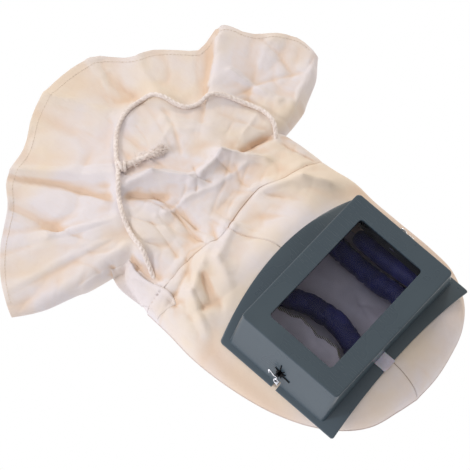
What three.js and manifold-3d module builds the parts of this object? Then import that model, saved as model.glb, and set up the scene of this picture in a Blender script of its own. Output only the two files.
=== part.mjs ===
// Sandblasting hood, lying on its back with the window up.
// A cotton head bag and shoulder cape, a drawcord round the neck, and a moulded window frame.
// Millimetres, +Z up. +X runs to the crown, -X to the cape's hem, and Y goes across the head.
// Plan positions are first laid out from the window's centre, then the whole part is moved so that
// its origin is the bottom centre of its box.

import * as THREE from "three";
import * as BufferGeometryUtils from "three/addons/utils/BufferGeometryUtils.js";
import Module from "manifold-3d";

const wasm = await Module();
wasm.setup();

// Cloth
const clothThickness = 2.0;
const pieceGap = 0.3;
const seamGap = 1.2;
const linerThickness = 1.6;

// Head bag, in plan from the window's centre
const crownReach = 114;
const headHalfWidth = 132;
const neckSeamReach = 159;
const neckSeamSkew = 14;
const headRollWidth = 36;
const centreSeamOffset = -13;
const chinSeamOffset = 3;
const spineEndReach = 40;

// Cape, in plan: the neck is its centre, the hem its far edge
const neckCentreReach = 200;
const neckHalfWidth = 126;
const capeReach = 243;
const capeHalfWidth = 234;
const capeRollWidth = 16;

// Heights of the cloth above the surface, and its folds
const neckHeight = 44;
const chinHeight = 66;
const crownHeight = 44;
const hemHeight = 9;
const crossDrop = 0.35;
const foldRise = 8;
const foldWidth = 14;
const neckBlend = 40;
const chinBlendReach = 93;

// Window frame
const plateLength = 133.4;
const plateWidth = 191.4;
const plateHeight = 90;
const plateTilt = THREE.MathUtils.degToRad(7);
const plateThickness = 3;
const plateCorner = 5;
const frameWall = 3;
const wallFlareAngle = THREE.MathUtils.degToRad(13.6);
const openingLength = 86;
const openingWidth = 150;
const openingOffset = -2.2;
const openingCorner = 4;

// Curved flange of the frame
const flangeThickness = 3;
const flangeCrestDepth = 29.6;
const flangeTipDepth = 58;
const flangeSideReach = 18.7;
const flangeCrownReach = 13.5;
const flangeCrownTipReach = 19.5;
const flangeChinReach = 25;
const flangeChinTipReach = 6.4;
const clothUnderFlange = 0.6;
const clothHoldMargin = 5;
const clothLap = 8.7;

// Pane, gasket and the retainer inside the opening
const paneThickness = 2;
const paneLap = 5;
const gasketDepth = 5;
const gasketWidth = 6;
const gasketInset = 1;
const retainerDepth = 15;
const retainerThickness = 2.5;
const screwRadius = 3.2;
const screwHeight = 1.6;
const screwInset = 5.1;
const screwDrop = 4.5;
const clipLength = 7;
const clipWidth = 2.3;
const clipDrop = 2.3;

// Washers, wire clips and the tab
const washerDepth = 35.3;
const washerRadius = 4.5;
const washerThickness = 0.8;
const legWidth = 1.1;
const studRadius = 2.2;
const studHeight = 5;
const wireRadius = 0.7;
const notchWidth = 6;
const notchHeight = 7;
const tabLength = 14.5;
const tabWidth = 16.5;
const tabThickness = 1.2;
const tabOffset = -20.5;

// Drawcord
const cordRadius = 2.75;
const cordClearance = 1.0;
const cordHoleClearance = 0.5;
const cordEndGap = 0.7;
const cordSides = 10;
const cordSteps = 44;
const tailRadius = 3.4;
const tailClearance = 1.8;

// Padded rolls inside the head
const rollRadius = 14;
const lowRollRadius = 13;
const highRollRadius = 12;
const rollLength = 168;
const highRollLength = 100;
const highRollOffset = -6;
const headSpaceWidth = 70;

// Lining inside the head
const linerReach = 100;
const linerCrownReach = 74;
const linerHalfWidth = 94;
const linerCrownHalfWidth = 62;
const linerWave = 7;
const linerWavePlace = 26;
const linerWaveWidth = 14;
const flapLength = 112;
const flapOffset = -11;
const flapFootReach = 90;
const flapEdgeReach = 37;
const flapEdgeBow = 15;
const flapCrownTuck = 8;
const flapRipple = 2;
const flapRise = 17;

// Colours, from the photograph
const canvas = material(0xe0d2c8, 0.9, 0);
const canvasBack = material(0xd9cabf, 0.92, 0);
const framePlastic = material(0x4c5a60, 0.45, 0);
const pane = new THREE.MeshStandardMaterial({ color: 0xd8dce0, roughness: 0.05, metalness: 0 });
const rubber = material(0x17191b, 0.7, 0);
const blackSteel = material(0x17181a, 0.4, 0.8);
const chrome = material(0xd6d8da, 0.15, 1);
const tabPlastic = material(0xa8a4b2, 0.35, 0);
const rope = material(0xd9ccb6, 0.95, 0);
const satin = material(0x1f2244, 0.4, 0);
const lining = material(0x77728a, 0.8, 0);

function material(color, roughness, metalness) {
  return new THREE.MeshStandardMaterial({ color, roughness, metalness });
}

// Outline of the head bag, from the left end of the neck seam round the crown to its right end.
// along is a share of the crown's reach ahead of the window and of the neck seam's reach behind it,
// across a share of the head's half width.
const headOutline = [
  { along: -1.0 - (0.97 * neckSeamSkew) / neckSeamReach, across: -0.97 },
  { along: -0.87, across: -0.99 },
  { along: -0.625, across: -1.025 },
  { along: -0.34, across: -1.02 },
  { along: -0.015, across: -0.965 },
  { along: 0.35, across: -0.86 },
  { along: 0.63, across: -0.715 },
  { along: 0.83, across: -0.52 },
  { along: 0.92, across: -0.285 },
  { along: 0.975, across: centreSeamOffset / headHalfWidth },
  { along: 0.975, across: 0.14 },
  { along: 0.935, across: 0.36 },
  { along: 0.85, across: 0.61 },
  { along: 0.68, across: 0.82 },
  { along: 0.4, across: 0.97 },
  { along: 0.1, across: 1.01 },
  { along: -0.21, across: 1.02 },
  { along: -0.45, across: 1.03 },
  { along: -0.62, across: 1.05 },
  { along: -0.78, across: 1.03 },
  { along: -1.0 + (1.02 * neckSeamSkew) / neckSeamReach, across: 1.02 },
];
const crownTipRow = 9;

// Sections of the cape from the neck seam to the hem. mid, left and right are shares of the cape's reach
// behind the neck's centre, at the middle and at each side. wideLeft and wideRight are shares of the
// half width, which goes from the head's at the seam to the neck's and the cape's.
// bow is 0 for a straight section and 1 for a round one.
const capeSections = [
  { mid: 0, left: 0, right: 0, wideLeft: 0.97, wideRight: 1.02, bow: 0 },
  { mid: 0.07, left: 0.075, right: 0.005, wideLeft: 0.9, wideRight: 1.05, bow: 0.5 },
  { mid: 0.37, left: 0.15, right: 0.02, wideLeft: 0.66, wideRight: 0.75, bow: 1 },
  { mid: 0.7, left: 0.24, right: 0.095, wideLeft: 0.84, wideRight: 0.92, bow: 1 },
  { mid: 1.0, left: 0.32, right: 0.17, wideLeft: 0.945, wideRight: 1.04, bow: 1 },
];

// Scallops of the hem: at is the angle across the fan in degrees, negative on the left,
// reach how far the hem stands out or in there, as a share of the cape's reach.
const hemScallops = [
  { at: -90, reach: 0.036 },
  { at: -80, reach: -0.01 },
  { at: -62, reach: -0.078 },
  { at: -45, reach: -0.118 },
  { at: -33, reach: -0.08 },
  { at: -20, reach: -0.092 },
  { at: -5, reach: -0.016 },
  { at: 15, reach: -0.007 },
  { at: 26, reach: -0.118 },
  { at: 32, reach: -0.114 },
  { at: 42, reach: -0.158 },
  { at: 49, reach: -0.163 },
  { at: 55, reach: -0.045 },
  { at: 65, reach: -0.068 },
  { at: 80, reach: -0.002 },
  { at: 90, reach: -0.025 },
];

// Folds of the cape and neck. Angles are in degrees round the neck's centre, 0 towards the hem and
// positive to the right; reaches are shares of the cape's reach. rise is a share of the fold's rise,
// below 0 for a valley; left and right are shares of the fold's width on either side of its line.
const capeFolds = [
  { fromAngle: 12, fromReach: 0.58, toAngle: -2, toReach: 1.0, rise: 0.6, left: 1.0, right: 0.8 },
  { fromAngle: 10, fromReach: 0.72, toAngle: 16, toReach: 1.0, rise: -0.5, left: 0.6, right: 0.7 },
  { fromAngle: 20, fromReach: 0.66, toAngle: 17, toReach: 0.88, rise: -0.45, left: 0.5, right: 0.6 },
  { fromAngle: 28, fromReach: 0.6, toAngle: 27, toReach: 1.0, rise: 0.6, left: 1.0, right: 1.2 },
  { fromAngle: -20, fromReach: 0.45, toAngle: -27, toReach: 0.95, rise: 0.75, left: 1.3, right: 0.8 },
  { fromAngle: -48, fromReach: 0.68, toAngle: -38, toReach: 0.92, rise: -1.1, left: 0.5, right: 0.9 },
  { fromAngle: -49, fromReach: 0.42, toAngle: -50, toReach: 0.72, rise: 0.7, left: 0.8, right: 0.8 },
  { fromAngle: -61, fromReach: 0.4, toAngle: -65, toReach: 0.95, rise: -0.5, left: 1.0, right: 1.0 },
  { fromAngle: -73, fromReach: 0.42, toAngle: -76, toReach: 0.9, rise: 0.9, left: 1.3, right: 1.1 },
  { fromAngle: 50, fromReach: 0.66, toAngle: 52, toReach: 0.93, rise: 1.1, left: 0.35, right: 2.2 },
  { fromAngle: 67, fromReach: 0.62, toAngle: 67, toReach: 0.95, rise: -0.7, left: 0.9, right: 0.9 },
  { fromAngle: 88, fromReach: 0.56, toAngle: 82, toReach: 0.9, rise: 0.8, left: 1.1, right: 1.1 },
  { fromAngle: 57, fromReach: 0.74, toAngle: 79, toReach: 0.66, rise: 0.5, left: 0.5, right: 0.6 },
  { fromAngle: -29, fromReach: 0.4, toAngle: -10, toReach: 0.29, rise: 0.9, left: 0.6, right: 0.7 },
  { fromAngle: -10, fromReach: 0.29, toAngle: 15, toReach: 0.14, rise: 0.9, left: 0.6, right: 0.7 },
  { fromAngle: -32, fromReach: 0.35, toAngle: -29, toReach: 0.19, rise: -0.6, left: 0.7, right: 0.7 },
  { fromAngle: 30, fromReach: 0.12, toAngle: 64, toReach: 0.26, rise: 0.9, left: 0.8, right: 0.7 },
  { fromAngle: 64, fromReach: 0.26, toAngle: 98, toReach: 0.35, rise: 0.9, left: 0.8, right: 0.7 },
  { fromAngle: 79, fromReach: 0.32, toAngle: 86, toReach: 0.47, rise: -0.7, left: 0.5, right: 0.5 },
  { fromAngle: 26, fromReach: 0.5, toAngle: 50, toReach: 0.4, rise: 0.5, left: 0.8, right: 0.8 },
  { fromAngle: -77, fromReach: 0.41, toAngle: -100, toReach: 0.41, rise: -0.8, left: 0.5, right: 0.6 },
  { fromAngle: -45, fromReach: 0.15, toAngle: -112, toReach: 0.13, rise: -0.5, left: 0.8, right: 0.8 },
];

// Folds of the head bag: x is a share of the neck seam's reach, y of the head's half width.
const headFolds = [
  { fromX: -0.89, fromY: -0.53, toX: -0.65, toY: -0.64, rise: -1.2, left: 0.7, right: 0.9 },
  { fromX: -0.65, fromY: -0.64, toX: -0.53, toY: -0.73, rise: -1.2, left: 0.7, right: 0.9 },
  { fromX: -1.0, fromY: -0.3, toX: -0.87, toY: -0.71, rise: 0.7, left: 0.9, right: 0.9 },
  { fromX: -0.87, fromY: -0.71, toX: -0.5, toY: -0.95, rise: 0.8, left: 0.9, right: 0.9 },
  { fromX: -0.97, fromY: -0.05, toX: -0.88, toY: -0.37, rise: 0.8, left: 1.1, right: 1.0 },
  { fromX: -0.88, fromY: -0.37, toX: -0.62, toY: -0.5, rise: 0.8, left: 1.1, right: 1.0 },
  { fromX: -1.02, fromY: 0.34, toX: -0.86, toY: 0.65, rise: 0.9, left: 1.1, right: 1.0 },
  { fromX: -0.86, fromY: 0.65, toX: -0.7, toY: 0.78, rise: 0.9, left: 1.1, right: 1.0 },
  { fromX: -0.88, fromY: 0.16, toX: -0.7, toY: 0.3, rise: -0.5, left: 1.1, right: 1.1 },
];

// Free stretch of the drawcord, chosen points in plan, and how far it sinks through the cloth.
const cordRoute = [
  { x: -166, y: -101, sink: 20 },
  { x: -178, y: -102, sink: 14 },
  { x: -190, y: -99, sink: 5 },
  { x: -204, y: -93, sink: 0 },
  { x: -218, y: -87, sink: 0 },
  { x: -233, y: -83, sink: 0 },
  { x: -247, y: -77, sink: 0 },
  { x: -262, y: -69, sink: 0 },
  { x: -277, y: -58, sink: 0 },
  { x: -290, y: -45, sink: 0 },
  { x: -302, y: -32, sink: 0 },
  { x: -315, y: -21, sink: 0 },
  { x: -327, y: -9, sink: 0 },
  { x: -338, y: 4, sink: 0 },
  { x: -345, y: 19, sink: 0 },
  { x: -349, y: 36, sink: 0 },
  { x: -349, y: 53, sink: 0 },
  { x: -342, y: 67, sink: 0 },
  { x: -329, y: 73, sink: 0 },
  { x: -314, y: 75, sink: 0 },
  { x: -301, y: 80, sink: 0 },
  { x: -294, y: 92, sink: 0 },
  { x: -290, y: 107, sink: 0 },
  { x: -280, y: 118, sink: 0 },
  { x: -265, y: 125, sink: 0 },
  { x: -249, y: 131, sink: 0 },
  { x: -234, y: 134, sink: 0 },
  { x: -221, y: 132, sink: 1 },
  { x: -212, y: 128, sink: 4 },
  { x: -204, y: 121, sink: 7 },
  { x: -197, y: 113, sink: 12 },
  { x: -192, y: 104, sink: 19 },
];

// Hidden stretch of the drawcord inside the neck, chosen points in plan and height above the back.
const hiddenCordRoute = [
  { x: -152, y: -97, lift: 6 },
  { x: -142, y: -86, lift: 1 },
  { x: -140, y: -70, lift: 0 },
  { x: -143, y: -52, lift: 0 },
  { x: -147, y: -30, lift: 0 },
  { x: -149, y: -6, lift: 0 },
  { x: -149, y: 18, lift: 0 },
  { x: -148, y: 42, lift: 0 },
  { x: -147, y: 62, lift: 0 },
  { x: -152, y: 78, lift: 0 },
  { x: -165, y: 87, lift: 1 },
  { x: -178, y: 91, lift: 5 },
];

// How far the neck seam strays from its straight line, along X, at places across the head.
const neckSeamWave = [
  { across: -120, stray: 0 },
  { across: -96, stray: 0 },
  { across: -72, stray: -3 },
  { across: -48, stray: -1 },
  { across: -24, stray: 5 },
  { across: 0, stray: -3 },
  { across: 24, stray: -10 },
  { across: 48, stray: -12 },
  { across: 72, stray: -3 },
  { across: 96, stray: 0 },
  { across: 120, stray: 2 },
];
const seamWaveReach = 24;

// Tail of the drawcord, lying on the neck from the tied ends.
const tailRoute = [
  { x: -298, y: -23 },
  { x: -295, y: -13 },
  { x: -291, y: -4 },
  { x: -286, y: 6 },
  { x: -281, y: 17 },
];

// Small maths helpers
function mix(a, b, share) {
  return a + (b - a) * share;
}

function smoothStep(low, high, value) {
  const t = THREE.MathUtils.clamp((value - low) / (high - low), 0, 1);
  return t * t * (3 - 2 * t);
}

// Smooth value of one column of a table, where share runs from the first row to the last.
function columnAt(rows, column, share) {
  const place = THREE.MathUtils.clamp(share, 0, 1) * (rows.length - 1);
  const index = Math.min(Math.floor(place), rows.length - 2);
  const t = place - index;
  const p1 = rows[index][column];
  const p2 = rows[index + 1][column];
  const p0 = index > 0 ? rows[index - 1][column] : 2 * p1 - p2;
  const p3 = index + 2 < rows.length ? rows[index + 2][column] : 2 * p2 - p1;
  const a = 2 * p1;
  const b = p2 - p0;
  const c = 2 * p0 - 5 * p1 + 4 * p2 - p3;
  const d = 3 * p1 - p0 - 3 * p2 + p3;
  return 0.5 * (a + b * t + c * t * t + d * t * t * t);
}

// Numbers spread evenly from low to high, both ends included.
function spread(low, high, steps) {
  return Array.from({ length: steps + 1 }, (_, i) => mix(low, high, i / steps));
}

// Shape of the frame, in its own axes: u to the crown, w across, n out of the plate
const flangeHalfWidth = plateWidth / 2 + flangeSideReach;
const flangeDrop = flangeTipDepth - flangeCrestDepth;
const flangeRadius = (flangeHalfWidth ** 2 + flangeDrop ** 2) / (2 * flangeDrop);
const flangeCurveReach = 1.2 * flangeHalfWidth;

// Height of the flange's arc about its own centre, level beyond the curve's reach.
function flangeArc(radius, w) {
  const reach = Math.min(Math.abs(w), flangeCurveReach);
  return Math.sqrt(radius ** 2 - reach ** 2) - flangeRadius - flangeCrestDepth;
}

const flangeTop = (w) => flangeArc(flangeRadius, w);
const flangeUnder = (w) => flangeArc(flangeRadius - flangeThickness, w);

function flangeCrownEdge(w) {
  const share = Math.min(Math.abs(w) / flangeHalfWidth, 1);
  return plateLength / 2 + mix(flangeCrownReach, flangeCrownTipReach, share ** 2);
}

function flangeChinEdge(w) {
  const share = Math.min(Math.abs(w) / flangeHalfWidth, 1);
  return -plateLength / 2 - mix(flangeChinReach, flangeChinTipReach, share ** 2);
}

// Height of the cloth's middle under the flange, at a plan position.
function heightUnderFlange(x, y) {
  const n = flangeUnder(y) - clothUnderFlange - clothThickness / 2;
  return plateHeight + (n - x * Math.sin(plateTilt)) / Math.cos(plateTilt);
}

// How much the cloth belongs to the flange: 1 under it, 0 well away from it.
function flangeHold(x, y) {
  const z = heightUnderFlange(x, y);
  const u = x * Math.cos(plateTilt) - (z - plateHeight) * Math.sin(plateTilt);
  const alongGap = Math.max(flangeChinEdge(y) - u, u - flangeCrownEdge(y), 0);
  const acrossGap = Math.max(Math.abs(y) - flangeHalfWidth, 0);
  const gap = Math.hypot(alongGap, acrossGap);
  return 1 - smoothStep(clothHoldMargin, clothHoldMargin + headRollWidth, gap);
}

// Height of a fold at a point: a soft ridge or valley along a line, with its own width on each side.
function foldAt(x, y, from, to, row) {
  const dx = to.x - from.x;
  const dy = to.y - from.y;
  const t = THREE.MathUtils.clamp(((x - from.x) * dx + (y - from.y) * dy) / (dx * dx + dy * dy), 0, 1);
  const offX = x - (from.x + dx * t);
  const offY = y - (from.y + dy * t);
  const onLeft = dx * offY - dy * offX > 0;
  const width = foldWidth * (onLeft ? row.left : row.right);
  const distance = Math.hypot(offX, offY) / width;
  return foldRise * row.rise * Math.exp(-distance * distance);
}

function capePoint(angle, reach) {
  const a = THREE.MathUtils.degToRad(angle);
  return { x: -neckCentreReach - reach * capeReach * Math.cos(a), y: reach * capeReach * Math.sin(a) };
}

const foldLines = [
  ...capeFolds.map((row) => ({
    row,
    from: capePoint(row.fromAngle, row.fromReach),
    to: capePoint(row.toAngle, row.toReach),
  })),
  ...headFolds.map((row) => ({
    row,
    from: { x: row.fromX * neckSeamReach, y: row.fromY * headHalfWidth },
    to: { x: row.toX * neckSeamReach, y: row.toY * headHalfWidth },
  })),
];

// Height of the middle of the top cloth at a plan position, away from its rolled sides.
function clothHeight(x, y) {
  const hemShare = hemHeight / neckHeight;
  const behind = Math.min(x + neckCentreReach, 0);
  const reach = Math.min(Math.hypot(behind, y) / capeReach, 1);
  const fanShape = hemShare + (1 - hemShare) * (0.5 + 0.5 * Math.cos(Math.PI * reach));
  const headShape = 1 - crossDrop * (y / headHalfWidth) ** 2;
  const toHead = smoothStep(-neckCentreReach, -neckCentreReach + neckBlend, x);
  const toChin = smoothStep(-neckCentreReach, -chinBlendReach, x);
  const toCrown = smoothStep(-plateLength / 2, plateLength / 2, x);
  const crest = mix(mix(neckHeight, chinHeight, toChin), crownHeight, toCrown);
  let height = crest * mix(fanShape, headShape, toHead);
  for (const fold of foldLines) {
    height += foldAt(x, y, fold.from, fold.to, fold.row);
  }
  height = Math.max(height, hemHeight);
  return mix(height, heightUnderFlange(x, y), flangeHold(x, y));
}

// Mesh helpers
// Makes one clean closed geometry with its faces pointing out.
function solid(positions, triangles) {
  const geometry = new THREE.BufferGeometry();
  geometry.setAttribute("position", new THREE.Float32BufferAttribute(positions, 3));
  geometry.setIndex(triangles);
  return outward(geometry);
}

function outward(source) {
  const plain = source.clone();
  plain.deleteAttribute("normal");
  plain.deleteAttribute("uv");
  const merged = BufferGeometryUtils.mergeVertices(plain, 1e-4);
  const index = Array.from(merged.index.array);
  const kept = [];
  for (let i = 0; i < index.length; i += 3) {
    const [a, b, c] = index.slice(i, i + 3);
    if (a !== b && b !== c && c !== a) {
      kept.push(a, b, c);
    }
  }
  const at = merged.getAttribute("position");
  const corner = [new THREE.Vector3(), new THREE.Vector3(), new THREE.Vector3()];
  let volume = 0;
  for (let i = 0; i < kept.length; i += 3) {
    corner.forEach((v, j) => v.fromBufferAttribute(at, kept[i + j]));
    volume += corner[0].dot(corner[1].clone().cross(corner[2]));
  }
  if (volume < 0) {
    kept.reverse();
  }
  merged.setIndex(kept);
  return merged;
}

function toManifold(geometry) {
  const clean = outward(geometry);
  return new wasm.Manifold(new wasm.Mesh({
    numProp: 3,
    vertProperties: new Float32Array(clean.getAttribute("position").array),
    triVerts: new Uint32Array(clean.index.array),
  }));
}

function fromManifold(body) {
  const mesh = body.getMesh();
  const positions = [];
  for (let i = 0; i < mesh.numVert; i += 1) {
    const start = i * mesh.numProp;
    positions.push(...mesh.vertProperties.slice(start, start + 3));
  }
  return solid(positions, Array.from(mesh.triVerts));
}

// A closed solid through a row of rings with the same number of points, capped at both ends.
function ringLoft(rings) {
  const count = rings[0].length;
  const positions = rings.flat().flatMap((p) => [p.x, p.y, p.z]);
  const triangles = [];
  for (let i = 0; i + 1 < rings.length; i += 1) {
    for (let j = 0; j < count; j += 1) {
      const a = i * count + j;
      const b = i * count + (j + 1) % count;
      triangles.push(a, b, b + count, a, b + count, a + count);
    }
  }
  for (const [row, flip] of [[0, true], [rings.length - 1, false]]) {
    const centre = rings[row].reduce((sum, p) => sum.add(p), new THREE.Vector3()).divideScalar(count);
    const hub = positions.length / 3;
    positions.push(centre.x, centre.y, centre.z);
    for (let j = 0; j < count; j += 1) {
      const a = row * count + j;
      const b = row * count + (j + 1) % count;
      triangles.push(...(flip ? [hub, b, a] : [hub, a, b]));
    }
  }
  return solid(positions, triangles);
}

// A sheet of even thickness about the surface place(u, k), as one closed solid. Past normalLimit in k,
// where a sheet's lines may meet in one point, the surface's direction is read just before it.
function sheet(place, us, ks, thickness, normalLimit = 1) {
  const step = 1e-4;
  const upper = [];
  const lower = [];
  for (const u of us) {
    for (const k of ks) {
      const point = place(u, k);
      const within = Math.min(k, normalLimit);
      const acrossU = place(Math.min(u + step, 1), within).sub(place(Math.max(u - step, 0), within));
      const acrossK = place(u, Math.min(within + step, 1)).sub(place(u, Math.max(within - step, 0)));
      const normal = acrossU.cross(acrossK).normalize();
      upper.push(point.clone().addScaledVector(normal, thickness / 2));
      lower.push(point.clone().addScaledVector(normal, -thickness / 2));
    }
  }
  const positions = [...upper, ...lower].flatMap((p) => [p.x, p.y, p.z]);
  const rows = us.length;
  const columns = ks.length;
  const under = rows * columns;
  const triangles = [];
  for (let i = 0; i + 1 < rows; i += 1) {
    for (let j = 0; j + 1 < columns; j += 1) {
      const a = i * columns + j;
      const b = a + 1;
      const c = a + columns + 1;
      const d = a + columns;
      triangles.push(a, d, c, a, c, b);
      triangles.push(under + a, under + c, under + d, under + a, under + b, under + c);
    }
  }
  const border = [];
  for (let j = 0; j < columns - 1; j += 1) border.push(j);
  for (let i = 0; i < rows - 1; i += 1) border.push(i * columns + columns - 1);
  for (let j = columns - 1; j > 0; j -= 1) border.push((rows - 1) * columns + j);
  for (let i = rows - 1; i > 0; i -= 1) border.push(i * columns);
  border.forEach((a, i) => {
    const b = border[(i + 1) % border.length];
    triangles.push(a, b, under + b, a, under + b, under + a);
  });
  return solid(positions, triangles);
}

// A round tube along a smooth path.
function tube(points, radius, sides, steps) {
  const shape = new THREE.Shape(Array.from({ length: sides }, (_, i) => {
    const angle = (2 * Math.PI * i) / sides;
    return new THREE.Vector2(radius * Math.cos(angle), radius * Math.sin(angle));
  }));
  const path = new THREE.CatmullRomCurve3(points, false, "centripetal");
  return outward(new THREE.ExtrudeGeometry(shape, { steps, extrudePath: path }));
}

// Plan outline of the head bag
const neckSeamAt = (y) => -neckSeamReach + neckSeamSkew * (y / headHalfWidth);

// Bends the cloth's rows to the wavy seam: a shift along X that fades away from the seam.
function seamWaveAt(x, y) {
  const last = neckSeamWave.length - 1;
  const [low, high] = [neckSeamWave[0].across, neckSeamWave[last].across];
  const stray = columnAt(neckSeamWave, "stray", (y - low) / (high - low));
  const away = (x - neckSeamAt(y)) / seamWaveReach;
  return stray * Math.exp(-away * away) * (1 - smoothStep(high, headHalfWidth, Math.abs(y)));
}

function headOutlineCurve(rows) {
  const points = rows.map((row) => {
    const reach = row.along < 0 ? neckSeamReach : crownReach;
    return new THREE.Vector3(row.along * reach, row.across * headHalfWidth, 0);
  });
  return new THREE.CatmullRomCurve3(points, false, "centripetal");
}

// Both curves run from the neck seam to the crown's tip, so left and right are made alike.
const headCurves = {
  left: headOutlineCurve(headOutline.slice(0, crownTipRow + 1)),
  right: headOutlineCurve(headOutline.slice(crownTipRow).reverse()),
};

// The centre seam's place across the head, nearer the middle at the chin than at the crown.
function centreSeamAt(x) {
  const atChin = mix(centreSeamOffset, chinSeamOffset, smoothStep(-neckSeamReach, -chinBlendReach, x));
  return mix(atChin, centreSeamOffset, smoothStep(-plateLength / 2, spineEndReach, x));
}

// Share of the way from an edge, with its roll: the first part of k turns through the rolled edge.
const rollShare = 0.3;

function rolledEdge(k, width, length) {
  if (k < rollShare) {
    const turn = (k / rollShare) * (Math.PI / 2);
    return { inward: width * (1 - Math.cos(turn)), rise: Math.sin(turn) };
  }
  return { inward: mix(width, length, (k - rollShare) / (1 - rollShare)), rise: 1 };
}

const clothFoot = clothThickness + pieceGap;

function headPlace(side) {
  const curve = headCurves[side];
  const gap = side === "left" ? -seamGap / 2 : seamGap / 2;
  return (u, k) => {
    const edge = curve.getPointAt(u);
    const seamShift = neckSeamAt(centreSeamAt(edge.x)) - neckSeamAt(edge.y);
    const nearSeam = 1 - smoothStep(-neckSeamReach, -plateLength / 2, edge.x);
    const spineX = Math.min(edge.x + seamShift * nearSeam, spineEndReach);
    const spine = new THREE.Vector3(spineX, centreSeamAt(spineX), 0);
    const away = spine.clone().sub(edge);
    const roll = rolledEdge(k, headRollWidth, away.length());
    const plan = edge.clone().addScaledVector(away.normalize(), roll.inward);
    plan.x += seamWaveAt(plan.x, plan.y);
    const height = clothHeight(plan.x, plan.y);
    const z = clothFoot + (height - clothFoot) * roll.rise;
    return new THREE.Vector3(plan.x + seamGap / 2, plan.y + gap, z);
  };
}

// Plan outline of the cape
function hemScallop(angle) {
  const last = hemScallops.length - 2;
  const found = hemScallops.findIndex((row, i) => i <= last && angle < hemScallops[i + 1].at);
  const index = found < 0 ? last : found;
  const [low, high] = [hemScallops[index], hemScallops[index + 1]];
  const slopeAt = (i) => {
    const before = hemScallops[Math.max(i - 1, 0)];
    const after = hemScallops[Math.min(i + 1, last + 1)];
    return (after.reach - before.reach) / (after.at - before.at);
  };
  const span = high.at - low.at;
  const t = (angle - low.at) / span;
  const rise = mix(low.reach, high.reach, t * t * (3 - 2 * t));
  const startBend = slopeAt(index) * span * t * (1 - t) * (1 - t);
  const endBend = slopeAt(index + 1) * span * t * t * (1 - t);
  return capeReach * (rise + startBend - endBend);
}

// Length of the half width at a section: the head's, then the neck's, then the cape's.
function sectionHalfWidth(share) {
  const toNeck = smoothStep(0, 0.25, share);
  const toCape = smoothStep(0.3, 0.55, share);
  return mix(mix(headHalfWidth, neckHalfWidth, toNeck), capeHalfWidth, toCape);
}

// A section's own curve in plan: angle is -90 at the left side, 0 in the middle, 90 at the right.
function sectionPoint(share, angle, scalloped) {
  const turn = THREE.MathUtils.degToRad(Math.abs(angle));
  const side = angle < 0 ? "left" : "right";
  const wide = columnAt(capeSections, angle < 0 ? "wideLeft" : "wideRight", share);
  const bow = columnAt(capeSections, "bow", share);
  const edge = columnAt(capeSections, side, share);
  const mid = columnAt(capeSections, "mid", share);
  const across = Math.sin(turn);
  const halfWidth = wide * sectionHalfWidth(share);
  const y = Math.sign(angle) * across * halfWidth;
  const reach = mix(edge, mid, mix(1 - across, Math.cos(turn), bow));
  const toNeck = smoothStep(0, 0.25, share);
  const seamX = neckSeamAt(y);
  const start = mix(seamX, -neckCentreReach, toNeck);
  const point = new THREE.Vector3(start - reach * capeReach, y, 0);
  if (scalloped) {
    const fan = new THREE.Vector3(-neckCentreReach, 0, 0);
    const outwards = point.clone().sub(fan).normalize();
    point.addScaledVector(outwards, hemScallop(angle) * smoothStep(0.6, 1, share));
  }
  return point;
}

// Points along a section by arc length, so that its rolled ends have their true width.
const sectionSteps = 60;

function sectionCurve(share) {
  const points = spread(-90, 90, sectionSteps).map((angle) => sectionPoint(share, angle, true));
  const lengths = [0];
  for (let i = 1; i < points.length; i += 1) {
    lengths.push(lengths[i - 1] + points[i].distanceTo(points[i - 1]));
  }
  return { points, lengths, total: lengths[lengths.length - 1] };
}

function alongSection(curve, distance) {
  const target = THREE.MathUtils.clamp(distance, 0, curve.total);
  let i = 1;
  while (i < curve.lengths.length - 1 && curve.lengths[i] < target) {
    i += 1;
  }
  const t = (target - curve.lengths[i - 1]) / (curve.lengths[i] - curve.lengths[i - 1]);
  return curve.points[i - 1].clone().lerp(curve.points[i], t);
}

function capePlace(share, k) {
  const curve = sectionCurve(share);
  const width = mix(headRollWidth, capeRollWidth, smoothStep(0.1, 0.6, share));
  const fromLeft = k < 0.5;
  const roll = rolledEdge(fromLeft ? 2 * k : 2 - 2 * k, width, curve.total / 2);
  const plan = alongSection(curve, fromLeft ? roll.inward : curve.total - roll.inward);
  plan.x += seamWaveAt(plan.x, plan.y);
  const height = clothHeight(plan.x, plan.y);
  const z = clothFoot + (height - clothFoot) * roll.rise;
  return new THREE.Vector3(plan.x - seamGap / 2, plan.y, z);
}

// Frame solids, in the frame's own axes
function roundedRectangle(halfU, halfW, corner, n) {
  const ring = [];
  const steps = 3;
  for (const [signU, signW, start] of [[1, 1, 0], [-1, 1, 90], [-1, -1, 180], [1, -1, 270]]) {
    for (let i = 0; i <= steps; i += 1) {
      const angle = THREE.MathUtils.degToRad(start + (90 * i) / steps);
      const u = signU * (halfU - corner) + corner * Math.cos(angle);
      const w = signW * (halfW - corner) + corner * Math.sin(angle);
      ring.push(new THREE.Vector3(u, w, n));
    }
  }
  return ring;
}

// How far out across the head a side wall is at a depth below the plate.
function wallReach(depth) {
  return plateWidth / 2 + depth * Math.tan(wallFlareAngle);
}

function flaredBox(inset, top, bottom) {
  return ringLoft([top, bottom].map((n) => (
    roundedRectangle(plateLength / 2 - inset, wallReach(-n) - inset, plateCorner - inset / 2, n)
  )));
}

// A bar along u whose upper side is the flange's curve, and whose underside is flat.
function flangeCore(surface, reach) {
  const half = 1.1 * flangeHalfWidth;
  const curve = spread(-half, half, 28).map((w) => new THREE.Vector2(w, surface(w)));
  const foot = -3 * flangeTipDepth;
  const shape = new THREE.Shape([...curve, new THREE.Vector2(half, foot), new THREE.Vector2(-half, foot)]);
  const bar = new THREE.ExtrudeGeometry(shape, { depth: 2 * reach, bevelEnabled: false });
  bar.translate(0, 0, -reach);
  bar.rotateX(Math.PI / 2);
  bar.rotateZ(Math.PI / 2);
  return bar;
}

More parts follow.
